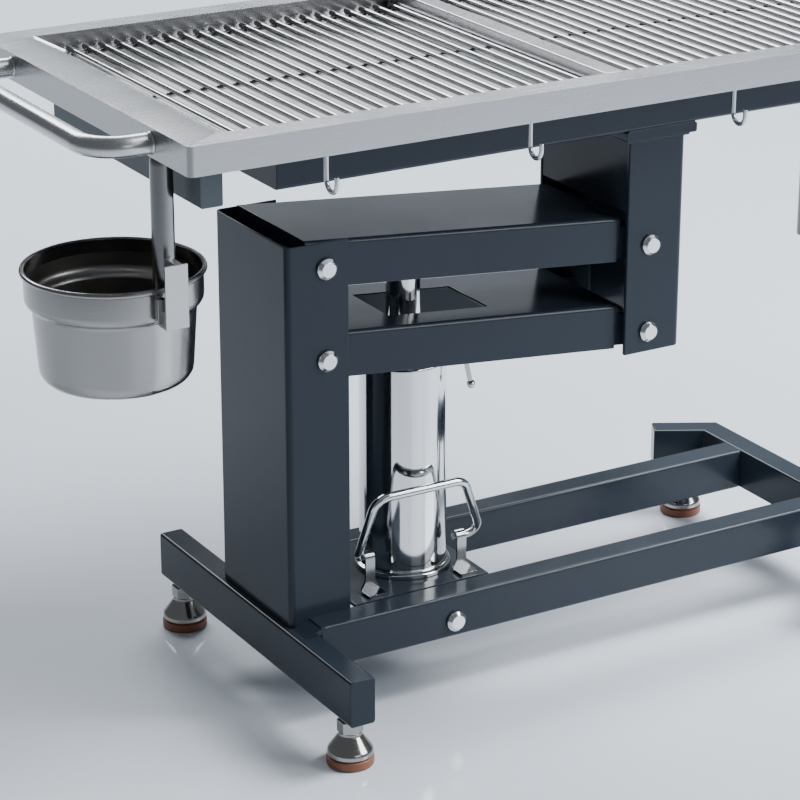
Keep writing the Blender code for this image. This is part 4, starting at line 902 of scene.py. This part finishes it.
def make_bucket():
    """The bucket: turned body with a wider band under its rolled rim, and the tab that hangs it up."""
    x, y = -591 * MM + TO_MIDDLE, -66 * MM
    rim = 655 * MM
    band = rim - 41 * MM
    base = rim - 140 * MM
    profile = outline(base, (0, 1.4), (81, 1.4), (86, 3), (90, 6.5), (93, 12), (94, 18))
    profile += outline(band, (99.1, -6), (100, -2.5), (103, 0), (106.2, 3), (107.6, 6), (108.1, 10))
    profile += outline(rim, (108.1, -15), (108.1, -1))
    profile += arc((110.5 * MM, rim), 3.5 * MM, 150, -120, 14)
    profile += outline(rim, (109.5, -4.5))
    profile += outline(band, (109.5, 10), (109, 5), (107.2, 1.6), (103.6, -1.4), (101.3, -3.6), (100.5, -7))
    profile += outline(base, (95.2, 17), (94.2, 11), (91, 5.4), (86.6, 1.4), (81, 0), (0, 0))
    bucket = turned("bucket_finish", profile, (x, y, 0), steps=128)
    tab_middle = -571 * MM + TO_MIDDLE
    tab_x = (tab_middle - 12 * MM, tab_middle + 12 * MM)
    hook_y = -181.9 * MM
    tab_top = block("bucket_tab_top", tab_x, (hook_y, hook_y + 10 * MM), (645.6 * MM, 648.1 * MM))
    tab_drop = block("bucket_tab_drop", tab_x, (hook_y, hook_y + 2.5 * MM), (630.3 * MM, 648.1 * MM))
    soften(tab_top, 0.5 * MM, 2)
    soften(tab_drop, 0.5 * MM, 2)
    bucket = clad(joined("bucket_finish", bucket, tab_top, tab_drop), BUCKET_STEEL, "bucket_body", "bucket")
    # The inner wall and floor take the darker copy of the steel: painted shade inside the bucket.
    bucket.data.materials.append(BUCKET_INSIDE_PAINTED_SHADE)
    inside_radius = 108.3 * MM
    floor_radius = 82 * MM
    for face in bucket.data.polygons:
        out = Vector((face.center.x - x, face.center.y - y, 0))
        within = out.length < inside_radius and base + MM < face.center.z < rim - 10 * MM
        facing = face.normal.dot(out)
        if within and facing < 0.3 * out.length and (out.length < floor_radius or facing < 0):
            face.material_index = 1


def paint(node, look):
    """Gives a CAD node that stays as it is its material."""
    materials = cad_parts[node].data.materials
    materials.clear()
    materials.append(look)


# The whole table

make_tray()
clad(refined("divider_bar", 0.7 * MM), TRAY_STEEL, "table", "divider_bar")
make_grate("grate_left")
make_grate("grate_right")
make_handle("handle_left", -1)
make_handle("handle_right", 1)
for side in ("near", "far"):
    for number in range(1, 5):
        make_hook(f"hook_{side}_{number}")
clad(refined("tray_frame", 1.2 * MM), GREY, "table", "tray_frame")
clad(refined("subframe", 1.0 * MM), SLATE, "table", "subframe")
make_head_plate()
make_front_column()
make_fixed_column()
make_arm("upper_arm", UPPER_PIVOT_Z, False)
make_arm("lower_arm", LOWER_PIVOT_Z, True)
make_beam("base_crossbeam_left", 1)
make_near_rail()
make_beam("base_rail_far", 0)
clad(refined("base_crossbeam_right", 1.0 * MM), SLATE, "stand", "base_crossbeam_right")
clad(refined("pump_base_plate", 0.8 * MM, 2), SLATE, "stand", "pump_base_plate")
pivot_ends = (("rear", "stand"), ("front", "table"))
for row in ("upper", "lower"):
    for end, body in pivot_ends:
        make_bolt(f"pivot_bolt_{end}_{row}", body)
    for end, body in pivot_ends:
        make_nut(f"pivot_nut_{end}_{row}", body)
        paint(f"bush_{end}_{row}", BOLT_STEEL)
make_bolt("rail_bolt", "stand")
for place in ("near_left", "far_left", "near_right", "far_right"):
    make_foot(place)
make_pump()
make_pedal()
make_bracket("pedal_bracket_left")
make_bracket("pedal_bracket_right")
make_lever()
make_drain("drain_pipe_left", -1, DRAIN_LEFT_Y)
make_drain("drain_pipe_right", 1, DRAIN_RIGHT_Y)
make_bucket()
clad(refined("bucket_hanger", 0.8 * MM), HANGER_STEEL, "table", "bucket_hanger")


# Studio: glossy pale floor, large soft lights, and the camera of the photograph

def make_floor():
    """A pale, glossy floor that runs out of the picture on all sides."""
    bpy.ops.object.select_all(action="DESELECT")
    bpy.ops.mesh.primitive_plane_add(size=60, location=(0, 0, 0))
    floor = bpy.context.active_object
    floor.name = "floor"
    made = bpy.data.materials.new("pale_gloss_floor")
    made.use_nodes = True
    shader = made.node_tree.nodes["Principled BSDF"]
    shader.inputs["Base Color"].default_value = (0.67, 0.71, 0.77, 1)
    shader.inputs["Roughness"].default_value = 0.1
    shader.inputs["Specular IOR Level"].default_value = 0.45
    floor.data.materials.append(made)


def make_world():
    """A weak, slightly blue light from all round."""
    world = bpy.data.worlds.new("studio")
    bpy.context.scene.world = world
    world.use_nodes = True
    background = world.node_tree.nodes["Background"]
    background.inputs["Color"].default_value = (0.88, 0.94, 1.0, 1)
    background.inputs["Strength"].default_value = 0.18


def aimed(name, data, at, way):
    """Adds a light or the camera, looking along a direction."""
    obj = bpy.data.objects.new(name, data)
    obj.location = at
    obj.rotation_euler = way.to_track_quat("-Z", "Y").to_euler()
    bpy.context.scene.collection.objects.link(obj)
    return obj


def softbox(name, at, towards, size, power, colour=(0.93, 0.965, 1.0)):
    """A rectangular light that faces a point."""
    light = bpy.data.lights.new(name, "AREA")
    light.shape = "RECTANGLE"
    light.size, light.size_y = size
    light.energy = power
    light.color = colour
    aimed(name, light, at, Vector(towards) - Vector(at))


def make_camera():
    """The camera that was fitted to the photograph."""
    lens = bpy.data.cameras.new("camera")
    lens.sensor_width = 36
    lens.lens = 131.17
    lens.clip_end = 100
    lens.shift_x = 0.0035
    lens.shift_y = 0.00225
    yaw = math.radians(30.3)
    pitch = math.radians(21)
    way = Vector((math.cos(pitch) * math.sin(yaw), math.cos(pitch) * math.cos(yaw), -math.sin(pitch)))
    at = (-1.9838 + TO_MIDDLE, -3.1303, 1.766)
    bpy.context.scene.camera = aimed("camera", lens, at, way)


make_floor()
make_world()
softbox("overhead", at=(2.2, -0.9, 3.5), towards=(0.3, 0, 0.2), size=(1.7, 1.5), power=300)
softbox("back_floor", at=(1.2, 4.6, 4.2), towards=(0.9, 4.0, 0), size=(5.5, 2.8), power=540)
softbox(
    "back_sheen", at=(5.2, 8.4, 2.5), towards=(0, 0, 0.7), size=(6.0, 1.4), power=24,
    colour=(0.82, 0.91, 1.0),
)
softbox("front_right", at=(3.0, -3.0, 2.6), towards=(0.3, -0.2, 0.2), size=(2.4, 2.0), power=150)
softbox("front_fill", at=(0.4, -4.4, 1.8), towards=(0, 0, 0.5), size=(2.2, 1.2), power=12)
make_camera()
